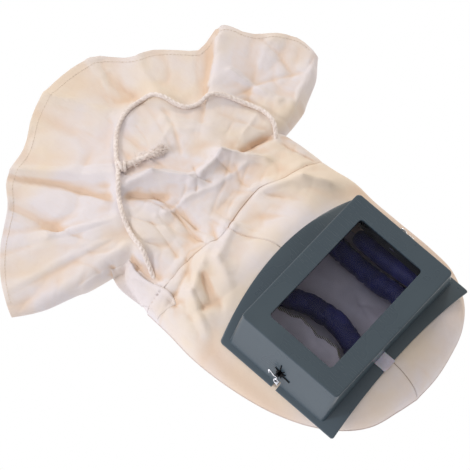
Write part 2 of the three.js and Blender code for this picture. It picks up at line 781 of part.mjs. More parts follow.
function flangeOutlinePrism() {
  const ws = spread(-flangeHalfWidth, flangeHalfWidth, 20);
  const crownSide = ws.map((w) => new THREE.Vector2(flangeCrownEdge(w), w));
  const chinSide = ws.map((w) => new THREE.Vector2(flangeChinEdge(w), w));
  const shape = new THREE.Shape([...crownSide, ...chinSide.reverse()]);
  const prism = new THREE.ExtrudeGeometry(shape, { depth: 2 * flangeTipDepth, bevelEnabled: false });
  prism.translate(0, 0, -2 * flangeTipDepth);
  return prism;
}

function boxAt(u, w, n, lengthU, lengthW, lengthN) {
  const box = new THREE.BoxGeometry(lengthU, lengthW, lengthN);
  box.translate(u, w, n);
  return box;
}

function frameGeometry() {
  const deep = -1.5 * flangeTipDepth;
  const upperCore = toManifold(flangeCore(flangeTop, plateLength));
  const lowerCore = toManifold(flangeCore(flangeUnder, 1.1 * plateLength));
  const flange = toManifold(flangeOutlinePrism()).intersect(upperCore).subtract(lowerCore);
  const walls = toManifold(flaredBox(0, 0, deep)).subtract(lowerCore);
  const inside = toManifold(flaredBox(frameWall, -plateThickness, 1.1 * deep));
  const openingRing = (n) => roundedRectangle(openingLength / 2, openingWidth / 2, openingCorner, n);
  const opening = ringLoft([openingRing(plateThickness), openingRing(-2 * plateThickness)]);
  opening.translate(openingOffset, 0, 0);
  let frame = walls.add(flange).subtract(inside).subtract(toManifold(opening));
  const footW = wallReach(flangeTipDepth);
  const footN = flangeUnder(footW);
  for (const side of [-1, 1]) {
    const notch = boxAt(notchWidth / 2, side * footW, footN, notchWidth, 2 * flangeSideReach, 2 * notchHeight);
    frame = frame.subtract(toManifold(notch));
  }
  return fromManifold(frame);
}

const frameGroup = new THREE.Group();
frameGroup.position.set(0, 0, plateHeight);
frameGroup.rotation.y = plateTilt;
frameGroup.updateMatrixWorld(true);

// The hole in the head for the face, under the frame, in the same axes as the cloth.
function faceHole() {
  const halfU = plateLength / 2 - clothLap;
  const halfW = wallReach(flangeTipDepth) - clothLap - frameWall;
  const hole = ringLoft([
    roundedRectangle(halfU, halfW, plateCorner, 0),
    roundedRectangle(halfU, halfW, plateCorner, -1.6 * flangeTipDepth),
  ]);
  hole.applyMatrix4(frameGroup.matrixWorld);
  return hole;
}

// Pieces of the frame
const hood = new THREE.Group();

function addPiece(parent, name, geometry, finish) {
  const mesh = new THREE.Mesh(geometry, finish);
  mesh.name = name;
  parent.add(mesh);
  return mesh;
}

function addPane() {
  const glassTop = -plateThickness - pieceGap;
  const halfU = openingLength / 2 + paneLap;
  const halfW = openingWidth / 2 + paneLap;
  const paneRing = (n) => roundedRectangle(halfU, halfW, openingCorner, n);
  const glass = ringLoft([paneRing(glassTop), paneRing(glassTop - paneThickness)]);
  glass.translate(openingOffset, 0, 0);
  addPiece(frameGroup, "window_glass", glass, pane);
}

const gasketTop = -plateThickness - paneThickness - 2 * pieceGap;

function addGasket() {
  const ring = (grow, n) => roundedRectangle(openingLength / 2 + grow, openingWidth / 2 + grow, openingCorner, n);
  const foot = gasketTop - gasketDepth;
  const outside = ringLoft([ring(gasketWidth, gasketTop), ring(gasketWidth, foot)]);
  const hole = ringLoft([ring(gasketInset, gasketTop + gasketInset), ring(gasketInset, foot - gasketInset)]);
  const gasket = fromManifold(toManifold(outside).subtract(toManifold(hole)));
  gasket.translate(openingOffset, 0, 0);
  addPiece(frameGroup, "glass_gasket", gasket, rubber);
}

function addRetainer() {
  const top = gasketTop - gasketDepth - pieceGap;
  const w = openingWidth / 2 + gasketWidth / 2;
  const length = openingLength;
  const n = top - retainerDepth / 2;
  const strip = boxAt(openingOffset, w, n, length, retainerThickness, retainerDepth);
  addPiece(frameGroup, "retainer_strip", outward(strip), rubber);
  const face = w - retainerThickness / 2 - pieceGap;
  const screw = new THREE.CylinderGeometry(screwRadius, screwRadius, screwHeight, 12);
  screw.translate(openingOffset - length / 2 + screwInset, face - screwHeight / 2, top - screwDrop);
  addPiece(frameGroup, "retainer_screw", outward(screw), blackSteel);
  const clip = boxAt(0, face - screwHeight / 4, top - clipDrop, clipLength, screwHeight / 2, clipWidth);
  addPiece(frameGroup, "retainer_clip", outward(clip), chrome);
}

// Legs of the star washer: turn in degrees, reach as a share of the washer's radius.
const washerLegs = [
  { turn: 100, reach: 3.1 },
  { turn: 62, reach: 1.9 },
  { turn: 30, reach: 1.8 },
  { turn: -8, reach: 3.2 },
  { turn: -60, reach: 1.6 },
  { turn: -120, reach: 1.7 },
  { turn: 150, reach: 1.9 },
];

// Wire clip, in the side wall's own axes, as shares of the washer's radius.
const clipPath = [
  { u: -2.0, v: -0.6, out: 1.4 },
  { u: -2.4, v: 0.1, out: 1.3 },
  { u: -1.5, v: 0.2, out: 1.4 },
  { u: -0.72, v: -0.6, out: 1.15 },
  { u: -0.02, v: -0.76, out: 0.95 },
  { u: 0.85, v: -1.5, out: 1.25 },
  { u: 0.5, v: -2.3, out: 1.3 },
  { u: 1.1, v: -3.0, out: 1.1 },
];

function washerGeometry(flip) {
  const steps = 36;
  const legHalf = THREE.MathUtils.radToDeg(legWidth / 2 / washerRadius);
  const corners = [];
  for (let i = 0; i < steps; i += 1) {
    corners.push({ turn: (360 * i) / steps, radius: washerRadius });
  }
  for (const leg of washerLegs) {
    const turn = (leg.turn + 360) % 360;
    corners.push({ turn: turn - legHalf, radius: washerRadius });
    corners.push({ turn: turn - legHalf * 0.3, radius: washerRadius * leg.reach });
    corners.push({ turn: turn + legHalf * 0.3, radius: washerRadius * leg.reach });
    corners.push({ turn: turn + legHalf, radius: washerRadius });
  }
  const clear = corners.filter((c) => c.radius > washerRadius
    || !washerLegs.some((leg) => Math.abs(((leg.turn + 360) % 360) - c.turn) < legHalf * 0.9));
  clear.sort((a, b) => a.turn - b.turn);
  const disc = new THREE.Shape(clear.map((c) => {
    const angle = THREE.MathUtils.degToRad(c.turn);
    return new THREE.Vector2(c.radius * Math.cos(angle), flip * c.radius * Math.sin(angle));
  }));
  const plate = new THREE.ExtrudeGeometry(disc, { depth: washerThickness, bevelEnabled: false });
  const stud = new THREE.CylinderGeometry(studRadius, studRadius, studHeight, 12);
  stud.rotateX(Math.PI / 2);
  stud.translate(0, 0, studHeight / 2);
  return fromManifold(toManifold(plate).add(toManifold(stud)));
}

function addWallFittings(side, name) {
  const wall = new THREE.Group();
  const flip = side < 0 ? 1 : -1;
  wall.position.set(0, side * wallReach(washerDepth), -washerDepth);
  wall.rotation.x = -side * (Math.PI / 2 - wallFlareAngle);
  frameGroup.add(wall);
  const washer = washerGeometry(flip);
  washer.translate(0, 0, pieceGap);
  addPiece(wall, `star_washer_${name}`, washer, blackSteel);
  const points = clipPath.map((row) => new THREE.Vector3(
    row.u * washerRadius,
    flip * row.v * washerRadius,
    row.out * washerRadius,
  ));
  addPiece(wall, `spring_clip_${name}`, tube(points, wireRadius, 6, 16), chrome);
}

function addTab() {
  const lean = Math.asin(-tabOffset / flangeRadius);
  const tab = new THREE.BoxGeometry(tabLength, tabWidth, tabThickness);
  tab.rotateX(lean);
  const bulge = tabWidth ** 2 / (8 * flangeRadius);
  const n = flangeTop(tabOffset) + pieceGap + bulge + tabThickness / 2 / Math.cos(lean);
  tab.translate(plateLength / 2 + pieceGap + tabLength / 2, tabOffset, n);
  addPiece(frameGroup, "crown_tab", outward(tab), tabPlastic);
}

addPiece(frameGroup, "window_frame", frameGeometry(), framePlastic);
addPane();
addGasket();
addRetainer();
addWallFittings(-1, "left");
addWallFittings(1, "right");
addTab();
hood.add(frameGroup);

// Head bag
function addHeadPanel(side) {
  const us = spread(0, 1, 24);
  const ks = [...spread(0, rollShare, 3), ...spread(rollShare, 1, 8).slice(1)];
  const panel = toManifold(sheet(headPlace(side), us, ks, clothThickness, 0.97));
  addPiece(hood, `head_${side}`, fromManifold(panel.subtract(toManifold(faceHole()))), canvas);
}

addHeadPanel("left");
addHeadPanel("right");

// Flat back of the head, from the neck seam to the crown, as far out as the top cloth's foot.
function flatPiece(points) {
  const shape = new THREE.Shape(points.map((p) => new THREE.Vector2(p.x, p.y)));
  return outward(new THREE.ExtrudeGeometry(shape, { depth: clothThickness, bevelEnabled: false }));
}

function outlineFrom(place, us, shift) {
  const lift = clothThickness / 2;
  return us.map((u) => {
    const foot = place(u, 0);
    const before = place(Math.max(u - 0.01, 0), 0);
    const after = place(Math.min(u + 0.01, 1), 0);
    const run = after.sub(before).setZ(0).normalize();
    return new THREE.Vector3(foot.x + shift * run.y * lift, foot.y - shift * run.x * lift, 0);
  });
}

function addHeadBack() {
  const us = spread(0, 1, 24);
  const left = outlineFrom(headPlace("left"), us, 1);
  const right = outlineFrom(headPlace("right"), us, -1);
  addPiece(hood, "head_back", flatPiece([...left, ...right.reverse()]), canvasBack);
}

addHeadBack();

// Drawcord paths
// Height of the middle of a round cord of this radius that lies on the cloth, whatever its slope.
function restHeight(x, y, radius, clearance) {
  const slopeX = (clothHeight(x + radius, y) - clothHeight(x - radius, y)) / (2 * radius);
  const slopeY = (clothHeight(x, y + radius) - clothHeight(x, y - radius)) / (2 * radius);
  const offset = clothThickness / 2 + clearance + radius;
  return clothHeight(x, y) + offset * Math.hypot(1, slopeX, slopeY);
}

function cordPath() {
  return cordRoute.map((row) => (
    new THREE.Vector3(row.x, row.y, restHeight(row.x, row.y, cordRadius, cordClearance) - row.sink)
  ));
}

function hiddenCordPath() {
  const path = cordPath();
  const leftEnd = [path[0], path[1]];
  const rightEnd = [path[path.length - 1], path[path.length - 2]];
  const rest = clothThickness + pieceGap + cordRadius;
  const middle = hiddenCordRoute.map((row) => new THREE.Vector3(row.x, row.y, rest + row.lift));
  const onwards = ([end, before], reach) => end.clone().add(end.clone().sub(before).setLength(reach));
  return [
    onwards(leftEnd, cordEndGap),
    onwards(leftEnd, 2 * cordRadius),
    ...middle,
    onwards(rightEnd, 2 * cordRadius),
    onwards(rightEnd, cordEndGap),
  ];
}

// Neck and cape
const capeShares = spread(0, 1, 20);

function addCapeFront() {
  const half = [...spread(0, rollShare / 2, 3), ...spread(rollShare / 2, 0.5, 15).slice(1)];
  const ks = [...half, ...half.slice(0, -1).reverse().map((k) => 1 - k)];
  const cloth = toManifold(sheet(capePlace, capeShares, ks, clothThickness));
  const cordWay = tube(cordPath(), cordRadius + cordHoleClearance, cordSides, cordSteps);
  addPiece(hood, "cape_front", fromManifold(cloth.subtract(toManifold(cordWay))), canvas);
}

function addCapeBack() {
  const leftSide = outlineFrom((share) => capePlace(share, 0), capeShares, 1).reverse();
  const rightSide = outlineFrom((share) => capePlace(share, 1), capeShares, -1);
  const hem = spread(90, -90, 40).slice(1, -1).map((angle) => sectionPoint(1, angle, true));
  addPiece(hood, "cape_back", flatPiece([...leftSide, ...rightSide, ...hem]), canvasBack);
}

addCapeFront();
addCapeBack();

function addCord() {
  addPiece(hood, "drawcord", tube(cordPath(), cordRadius, cordSides, cordSteps), rope);
  addPiece(hood, "drawcord_back", tube(hiddenCordPath(), cordRadius, cordSides, 24), rope);
  const tail = tailRoute.map((row) => (
    new THREE.Vector3(row.x, row.y, restHeight(row.x, row.y, tailRadius, tailClearance))
  ));
  addPiece(hood, "cord_tail", tube(tail, tailRadius, cordSides, 4), rope);
}

addCord();

// Padded rolls inside the head: along is a share of the roll's length, across of the head space's
// width, lift of the roll's radius, full of its radius.
const linerTop = clothThickness + 2 * pieceGap + linerThickness;

const leftRoll = [
  { along: -0.56, across: -0.42, lift: 0, full: 0.35 },
  { along: -0.53, across: -0.4, lift: 0, full: 0.75 },
  { along: -0.46, across: -0.35, lift: 0, full: 0.98 },
  { along: -0.37, across: -0.25, lift: 0, full: 1.0 },
  { along: -0.27, across: -0.16, lift: 0, full: 1.0 },
  { along: -0.17, across: -0.12, lift: 0, full: 1.0 },
  { along: -0.07, across: -0.1, lift: 0, full: 1.0 },
  { along: 0.03, across: -0.13, lift: 0, full: 1.0 },
  { along: 0.14, across: -0.23, lift: 0, full: 1.0 },
  { along: 0.24, across: -0.37, lift: 0, full: 1.0 },
  { along: 0.33, across: -0.52, lift: 0, full: 0.95 },
  { along: 0.38, across: -0.6, lift: 0, full: 0.75 },
  { along: 0.41, across: -0.64, lift: 0, full: 0.35 },
];

const lowRoll = [
  { along: -0.55, across: 0.97, lift: 0, full: 0.35 },
  { along: -0.53, across: 0.95, lift: 0, full: 0.75 },
  { along: -0.46, across: 0.92, lift: 0, full: 0.98 },
  { along: -0.3, across: 0.88, lift: 0, full: 1.0 },
  { along: -0.15, across: 0.86, lift: 0, full: 1.0 },
  { along: 0.0, across: 0.86, lift: 0, full: 1.0 },
  { along: 0.15, across: 0.89, lift: 0, full: 1.0 },
  { along: 0.3, across: 0.93, lift: 0, full: 0.98 },
  { along: 0.37, across: 0.95, lift: 0, full: 0.75 },
  { along: 0.39, across: 0.96, lift: 0, full: 0.35 },
];

const highRoll = [
  { along: -0.5, across: 1.16, lift: 1.44, full: 0.35 },
  { along: -0.475, across: 1.16, lift: 1.44, full: 0.75 },
  { along: -0.38, across: 1.16, lift: 1.46, full: 1.0 },
  { along: -0.2, across: 1.15, lift: 1.46, full: 1.0 },
  { along: 0.0, across: 1.14, lift: 1.46, full: 1.0 },
  { along: 0.2, across: 1.15, lift: 1.46, full: 1.0 },
  { along: 0.38, across: 1.16, lift: 1.44, full: 1.0 },
  { along: 0.475, across: 1.16, lift: 1.44, full: 0.75 },
  { along: 0.5, across: 1.16, lift: 1.44, full: 0.35 },
];

function rollGeometry(rows, length, radius, offset) {
  const sides = 12;
  const rest = linerTop + pieceGap + radius;
  const centres = rows.map((row) => new THREE.Vector3(
    row.along * length + offset,
    row.across * headSpaceWidth,
    rest + row.lift * radius,
  ));
  const rings = rows.map((row, i) => {
    const before = centres[Math.max(i - 1, 0)];
    const after = centres[Math.min(i + 1, rows.length - 1)];
    const run = after.clone().sub(before).normalize();
    const side = new THREE.Vector3(0, 0, 1).cross(run).normalize();
    const up = run.clone().cross(side);
    return Array.from({ length: sides }, (_, j) => {
      const angle = (2 * Math.PI * j) / sides;
      return centres[i].clone()
        .addScaledVector(side, radius * row.full * Math.cos(angle))
        .addScaledVector(up, radius * row.full * Math.sin(angle));
    });
  });
  return ringLoft(rings);
}

addPiece(hood, "roll_left", rollGeometry(leftRoll, rollLength, rollRadius, 0), satin);
addPiece(hood, "roll_right_low", rollGeometry(lowRoll, rollLength, lowRollRadius, 0), satin);
addPiece(hood, "roll_right_high", rollGeometry(highRoll, highRollLength, highRollRadius, highRollOffset), satin);

// Lining of the head's back: a soft wave between the rolls, flat where they rest.
function linerPlace(u, k) {
  const x = mix(-linerReach, linerCrownReach, u);
  const towardsCrown = Math.max(x / linerCrownReach, 0) ** 2;
  const halfWidth = mix(linerHalfWidth, linerCrownHalfWidth, towardsCrown);
  const y = mix(-halfWidth, halfWidth, k);
  const between = (y - linerWavePlace) / linerWaveWidth;
  const along = 0.6 + 0.4 * Math.sin((x / linerReach) * Math.PI * 1.5);
  const wave = linerWave * Math.exp(-between * between) * along;
  return new THREE.Vector3(x, y, clothThickness + pieceGap + linerThickness / 2 + wave);
}

addPiece(hood, "liner_back", sheet(linerPlace, spread(0, 1, 7), spread(0, 1, 16), linerThickness), lining);

// Lining flap that leans on the left roll, with a wavy overlocked edge.
function flapPlace(u, k) {
  const along = mix(-flapLength / 2, flapLength / 2, u);
  const bow = flapEdgeBow * (along / flapLength) ** 2;
  const ripple = flapRipple * Math.sin(u * 5 * Math.PI);
  const tuck = flapCrownTuck * smoothStep(0, flapLength / 2, along + flapOffset);
  const y = mix(-flapFootReach, -flapEdgeReach - bow - ripple - tuck, k);
  const hump = Math.sin(Math.min(k * 1.15, 1) * Math.PI * 0.5);
  const foot = linerTop + pieceGap + linerThickness / 2;
  return new THREE.Vector3(along + flapOffset, y, foot + flapRise * hump * hump);
}

addPiece(hood, "liner_flap", sheet(flapPlace, spread(0, 1, 12), spread(0, 1, 8), linerThickness), lining);

// Origin: bottom centre of the object without its cord
function placeOrigin() {
  const box = new THREE.Box3();
  hood.updateMatrixWorld(true);
  hood.traverse((item) => {
    if (item.isMesh && !item.name.includes("cord")) {
      box.expandByObject(item, true);
    }
  });
  const centre = box.getCenter(new THREE.Vector3());
  hood.position.set(-centre.x, -centre.y, -box.min.z);
}

placeOrigin();

export default hood;
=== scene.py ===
"""Looks of a cotton sandblasting hood that lies on its back with the window up."""

import math

import bpy
import numpy as np
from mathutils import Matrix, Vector
from mathutils.bvhtree import BVHTree


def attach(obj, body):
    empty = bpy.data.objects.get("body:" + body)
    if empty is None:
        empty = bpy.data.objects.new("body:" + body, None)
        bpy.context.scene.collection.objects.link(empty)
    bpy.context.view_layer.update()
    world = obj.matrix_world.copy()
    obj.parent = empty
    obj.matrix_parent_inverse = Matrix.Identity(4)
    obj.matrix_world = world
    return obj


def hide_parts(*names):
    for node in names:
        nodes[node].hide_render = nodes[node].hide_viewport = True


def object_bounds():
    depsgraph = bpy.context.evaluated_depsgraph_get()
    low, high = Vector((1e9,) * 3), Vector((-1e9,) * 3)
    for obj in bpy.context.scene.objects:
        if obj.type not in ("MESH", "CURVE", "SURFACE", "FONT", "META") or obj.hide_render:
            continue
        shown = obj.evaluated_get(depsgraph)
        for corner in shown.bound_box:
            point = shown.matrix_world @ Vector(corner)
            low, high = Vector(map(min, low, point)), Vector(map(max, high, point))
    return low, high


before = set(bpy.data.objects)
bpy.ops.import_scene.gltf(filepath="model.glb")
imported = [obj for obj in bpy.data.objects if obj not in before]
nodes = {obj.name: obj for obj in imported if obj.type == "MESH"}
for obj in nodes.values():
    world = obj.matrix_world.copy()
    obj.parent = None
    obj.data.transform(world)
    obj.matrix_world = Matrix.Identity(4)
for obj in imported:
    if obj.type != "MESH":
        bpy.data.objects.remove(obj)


def corners_of(found):
    return [list(corner) for corner in found]


size_at_load = corners_of(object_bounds())

# Plan positions below are in millimetres from the window's centre, which lies here in the frame's axes:
plan_origin = np.array([165.2097, -5.0958, 0.0])
rng = np.random.default_rng(7)


def to_row(points):
    return (np.asarray(points, float) + plan_origin) / 1000.0


# Camera: its place, lens in millimetres, tilt and turn in degrees
camera_place = (635.0, -906.4, 2487.9)
camera_lens = 191.5
camera_sensor = 36.0
camera_tilt = 26.0
camera_turn = 41.2


def make_camera():
    data = bpy.data.cameras.new("camera")
    data.lens = camera_lens
    data.sensor_width = camera_sensor
    data.clip_end = 20.0
    camera = bpy.data.objects.new("camera", data)
    camera.location = to_row(camera_place)
    camera.rotation_euler = (math.radians(camera_tilt), 0.0, math.radians(camera_turn))
    bpy.context.collection.objects.link(camera)
    bpy.context.scene.camera = camera


make_camera()

# Sizes shared by the pieces, millimetres
cloth_thickness = 2.0
shown_thickness = 1.3
piece_gap = 0.3
seam_gap = 0.6
liner_thickness = 1.6
crown_reach = 114.0
head_half_width = 132.0
neck_seam_reach = 159.0
neck_seam_skew = 14.0
head_roll_width = 36.0
centre_seam_offset = -13.0
chin_seam_offset = 3.0
spine_end_reach = 40.0
neck_centre_reach = 200.0
neck_half_width = 126.0
cape_reach = 243.0
cape_half_width = 234.0
cape_roll_width = 16.0
neck_height = 44.0
chin_height = 66.0
crown_height = 44.0
hem_height = 9.0
cross_drop = 0.35
fold_rise = 8.0
fold_width = 14.0
neck_blend = 40.0
chin_blend_reach = 93.0
plate_length = 133.4
plate_width = 191.4
plate_height = 90.0
plate_tilt = math.radians(7.0)
plate_thickness = 3.0
plate_corner = 5.0
frame_wall = 3.0
frame_edge = 1.6
frame_flat_margin = 2.0
flange_corner = 3.0
wall_flare = math.tan(math.radians(13.6))
opening_length = 86.0
opening_width = 150.0
opening_offset = -2.2
opening_corner = 4.0
flange_thickness = 3.0
notch_width = 6.0
notch_height = 7.0
flange_crest_depth = 29.6
flange_tip_depth = 58.0
flange_side_reach = 18.7
flange_crown_reach = 13.5
flange_crown_tip_reach = 19.5
flange_chin_reach = 25.0
flange_chin_tip_reach = 6.4
cloth_under_flange = 0.6
cloth_hold_margin = 5.0
cloth_lap = 8.7
washer_depth = 35.3
washer_radius = 4.5
wire_radius = 0.9
cord_radius = 2.75
cord_clearance = 1.0
cord_end_gap = 0.7
tail_radius = 3.4
tail_clearance = 1.8
strand_pitch = 17.0
roll_share = 0.3
cloth_foot = cloth_thickness + piece_gap

# Outline of the head bag: along and across, as shares of its reach and half width
head_outline = [
    (-1.0 - 0.97 * neck_seam_skew / neck_seam_reach, -0.97), (-0.87, -0.99), (-0.625, -1.025),
    (-0.34, -1.02), (-0.015, -0.965), (0.35, -0.86), (0.63, -0.715), (0.83, -0.52), (0.92, -0.285),
    (0.975, centre_seam_offset / head_half_width), (0.975, 0.14), (0.935, 0.36), (0.85, 0.61),
    (0.68, 0.82), (0.4, 0.97), (0.1, 1.01), (-0.21, 1.02), (-0.45, 1.03), (-0.62, 1.05), (-0.78, 1.03),
    (-1.0 + 1.02 * neck_seam_skew / neck_seam_reach, 1.02),
]
crown_tip_row = 9

# Sections of the cape: mid, left and right reach, left and right width, bow
cape_sections = np.array([
    (0, 0, 0, 0.97, 1.02, 0),
    (0.07, 0.075, 0.005, 0.9, 1.05, 0.5),
    (0.37, 0.15, 0.02, 0.66, 0.75, 1),
    (0.7, 0.24, 0.095, 0.84, 0.92, 1),
    (1.0, 0.32, 0.17, 0.945, 1.04, 1),
])

# Scallops of the hem: angle in degrees, reach as a share of the cape's reach
hem_scallops = np.array([
    (-90, 0.036), (-80, -0.01), (-62, -0.078), (-45, -0.118), (-33, -0.08), (-20, -0.092), (-5, -0.016),
    (15, -0.007), (26, -0.118), (32, -0.114), (42, -0.158), (49, -0.163), (55, -0.045), (65, -0.068),
    (80, -0.002), (90, -0.025),
])

# Folds of the cape about the neck's centre: from angle and reach, to angle and reach, rise, left, right
cape_folds = [
    (12, 0.58, -2, 1.0, 0.6, 1.0, 0.8), (10, 0.72, 16, 1.0, -0.5, 0.6, 0.7),
    (20, 0.66, 17, 0.88, -0.45, 0.5, 0.6), (28, 0.6, 27, 1.0, 0.6, 1.0, 1.2),
    (-20, 0.45, -27, 0.95, 0.75, 1.3, 0.8), (-48, 0.68, -38, 0.92, -1.1, 0.5, 0.9),
    (-49, 0.42, -50, 0.72, 0.7, 0.8, 0.8), (-61, 0.4, -65, 0.95, -0.5, 1.0, 1.0),
    (-73, 0.42, -76, 0.9, 0.9, 1.3, 1.1), (50, 0.66, 52, 0.93, 1.1, 0.35, 2.2),
    (67, 0.62, 67, 0.95, -0.7, 0.9, 0.9), (88, 0.56, 82, 0.9, 0.8, 1.1, 1.1),
    (57, 0.74, 79, 0.66, 0.5, 0.5, 0.6), (-29, 0.4, -10, 0.29, 0.9, 0.6, 0.7),
    (-10, 0.29, 15, 0.14, 0.9, 0.6, 0.7), (-32, 0.35, -29, 0.19, -0.6, 0.7, 0.7),
    (30, 0.12, 64, 0.26, 0.9, 0.8, 0.7), (64, 0.26, 98, 0.35, 0.9, 0.8, 0.7),
    (79, 0.32, 86, 0.47, -0.7, 0.5, 0.5), (26, 0.5, 50, 0.4, 0.5, 0.8, 0.8),
    (-77, 0.41, -100, 0.41, -0.8, 0.5, 0.6), (-45, 0.15, -112, 0.13, -0.5, 0.8, 0.8),
]

# Folds of the head bag: from and to, as shares of the neck seam's reach and the half width
head_folds = [
    (-0.89, -0.53, -0.65, -0.64, -1.2, 0.7, 0.9), (-0.65, -0.64, -0.53, -0.73, -1.2, 0.7, 0.9),
    (-1.0, -0.3, -0.87, -0.71, 0.7, 0.9, 0.9), (-0.87, -0.71, -0.5, -0.95, 0.8, 0.9, 0.9),
    (-0.97, -0.05, -0.88, -0.37, 0.8, 1.1, 1.0), (-0.88, -0.37, -0.62, -0.5, 0.8, 1.1, 1.0),
    (-1.02, 0.34, -0.86, 0.65, 0.9, 1.1, 1.0), (-0.86, 0.65, -0.7, 0.78, 0.9, 1.1, 1.0),
    (-0.88, 0.16, -0.7, 0.3, -0.5, 1.1, 1.1),
]

# Drawcord over the front: x, y and how far it sinks through the cloth
cord_route = [
    (-166, -101, 20), (-178, -102, 14), (-190, -99, 5), (-204, -93, 0), (-218, -87, 0), (-233, -83, 0),
    (-247, -77, 0), (-262, -69, 0), (-277, -58, 0), (-290, -45, 0), (-302, -32, 0), (-315, -21, 0),
    (-327, -9, 0), (-338, 4, 0), (-345, 19, 0), (-349, 36, 0), (-349, 53, 0), (-342, 67, 0),
    (-329, 73, 0), (-314, 75, 0), (-301, 80, 0), (-294, 92, 0), (-290, 107, 0), (-280, 118, 0),
    (-265, 125, 0), (-249, 131, 0), (-234, 134, 0), (-221, 132, 1), (-212, 128, 4), (-204, 121, 7),
    (-197, 113, 12), (-192, 104, 19),
]

# Drawcord inside the neck: x, y and lift above the back
hidden_cord_route = [
    (-152, -97, 6), (-142, -86, 1), (-140, -70, 0), (-143, -52, 0), (-147, -30, 0), (-149, -6, 0),
    (-149, 18, 0), (-148, 42, 0), (-147, 62, 0), (-152, 78, 0), (-165, 87, 1), (-178, 91, 5),
]

# How far the neck seam strays from its straight line along x, at places across the head
neck_seam_wave = np.array([
    (-120, 0), (-96, 0), (-72, -3), (-48, -1), (-24, 5), (0, -3), (24, -10), (48, -12), (72, -3), (96, 0),
    (120, 2),
])
seam_wave_reach = 24.0
tail_route = [(-298, -23), (-295, -13), (-291, -4), (-286, 6), (-281, 17)]


# Small maths helpers, all for whole arrays at once
def mix(a, b, share):
    return a + (b - a) * share


def smooth_step(low, high, value):
    t = np.clip((value - low) / (high - low), 0, 1)
    return t * t * (3 - 2 * t)


def column_at(rows, column, share):
    values = rows[:, column]
    padded = np.concatenate([[2 * values[0] - values[1]], values, [2 * values[-1] - values[-2]]])
    place = np.clip(share, 0, 1) * (len(values) - 1)
    index = min(int(place), len(values) - 2)
    t = place - index
    p0, p1, p2, p3 = padded[index:index + 4]
    squared = (2 * p0 - 5 * p1 + 4 * p2 - p3) * t * t
    return 0.5 * (2 * p1 + (p2 - p0) * t + squared + (p1 - p0 + 2 * (p1 - p2) + p3 - p2) * t ** 3)


def smooth_line(points, steps_each=24):
    """A centripetal curve through the points, and the length along it of each of its points."""
    p = np.asarray(points, float)
    p = np.vstack([2 * p[0] - p[1], p, 2 * p[-1] - p[-2]])
    made = []
    for i in range(1, len(p) - 2):
        p0, p1, p2, p3 = p[i - 1:i + 3]
        d0, d1, d2 = (max(np.linalg.norm(b - a) ** 0.5, 1e-6) for a, b in ((p0, p1), (p1, p2), (p2, p3)))
        m1 = ((p1 - p0) / d0 - (p2 - p0) / (d0 + d1) + (p2 - p1) / d1) * d1
        m2 = ((p2 - p1) / d1 - (p3 - p1) / (d1 + d2) + (p3 - p2) / d2) * d1
        t = np.linspace(0, 1, steps_each, endpoint=False)[:, None]
        t2, t3 = t * t, t * t * t
        made.append((2 * t3 - 3 * t2 + 1) * p1 + (t3 - 2 * t2 + t) * m1
                    + (3 * t2 - 2 * t3) * p2 + (t3 - t2) * m2)
    line = np.vstack(made + [p[-2:-1]])
    return line, length_along(line)


def unit(ways):
    return ways / np.linalg.norm(ways, axis=-1, keepdims=True)


def left_of(plan):
    """Unit ways to the left of a plan line, one for each of its points."""
    run = unit(np.gradient(plan, axis=0))
    return np.column_stack([-run[:, 1], run[:, 0]])


def length_along(line):
    return np.concatenate([[0], np.cumsum(np.linalg.norm(np.diff(line, axis=0), axis=1))])


def at_length(line, lengths, wanted):
    return np.stack([np.interp(wanted, lengths, line[:, i]) for i in range(line.shape[1])], axis=-1)


def even_line(points, step):
    line, lengths = smooth_line(points)
    count = max(int(lengths[-1] / step), 2)
    return at_length(line, lengths, np.linspace(0, lengths[-1], count + 1))


def value_noise(x, y, seed):
    """Smooth noise from -1 to 1 with features one unit across."""
    table = np.random.default_rng(seed).uniform(-1, 1, (64, 64))
    ix, iy = np.floor(x).astype(int), np.floor(y).astype(int)
    fx, fy = x - ix, y - iy
    fx, fy = fx * fx * (3 - 2 * fx), fy * fy * (3 - 2 * fy)
    corner = lambda i, j: table[(ix + i) % 64, (iy + j) % 64]
    return mix(mix(corner(0, 0), corner(1, 0), fx), mix(corner(0, 1), corner(1, 1), fx), fy)


def distance_to_line(x, y, line):
    """Shortest distance from each point to a plan line, and on which side of it the point lies."""
    best = np.full(x.shape, 1e9)
    side = np.zeros(x.shape)
    for (ax, ay), (bx, by) in zip(line[:-1], line[1:]):
        dx, dy = bx - ax, by - ay
        t = np.clip(((x - ax) * dx + (y - ay) * dy) / (dx * dx + dy * dy), 0, 1)
        off_x, off_y = x - ax - dx * t, y - ay - dy * t
        gap = np.hypot(off_x, off_y)
        nearer = gap < best
        best = np.where(nearer, gap, best)
        side = np.where(nearer, np.sign(dx * off_y - dy * off_x), side)
    return best, side


# Shape of the frame's flange
flange_half_width = plate_width / 2 + flange_side_reach
flange_drop = flange_tip_depth - flange_crest_depth
flange_radius = (flange_half_width ** 2 + flange_drop ** 2) / (2 * flange_drop)


def flange_arc(radius, w):
    reach = np.minimum(np.abs(w), 1.2 * flange_half_width)
    return np.sqrt(radius ** 2 - reach ** 2) - flange_radius - flange_crest_depth


def flange_crown_edge(w):
    share = np.minimum(np.abs(w) / flange_half_width, 1)
    return plate_length / 2 + mix(flange_crown_reach, flange_crown_tip_reach, share ** 2)


def flange_chin_edge(w):
    share = np.minimum(np.abs(w) / flange_half_width, 1)
    return -plate_length / 2 - mix(flange_chin_reach, flange_chin_tip_reach, share ** 2)


def height_under_flange(x, y):
    n = flange_arc(flange_radius - flange_thickness, y) - cloth_under_flange - cloth_thickness / 2
    return plate_height + (n - x * math.sin(plate_tilt)) / math.cos(plate_tilt)


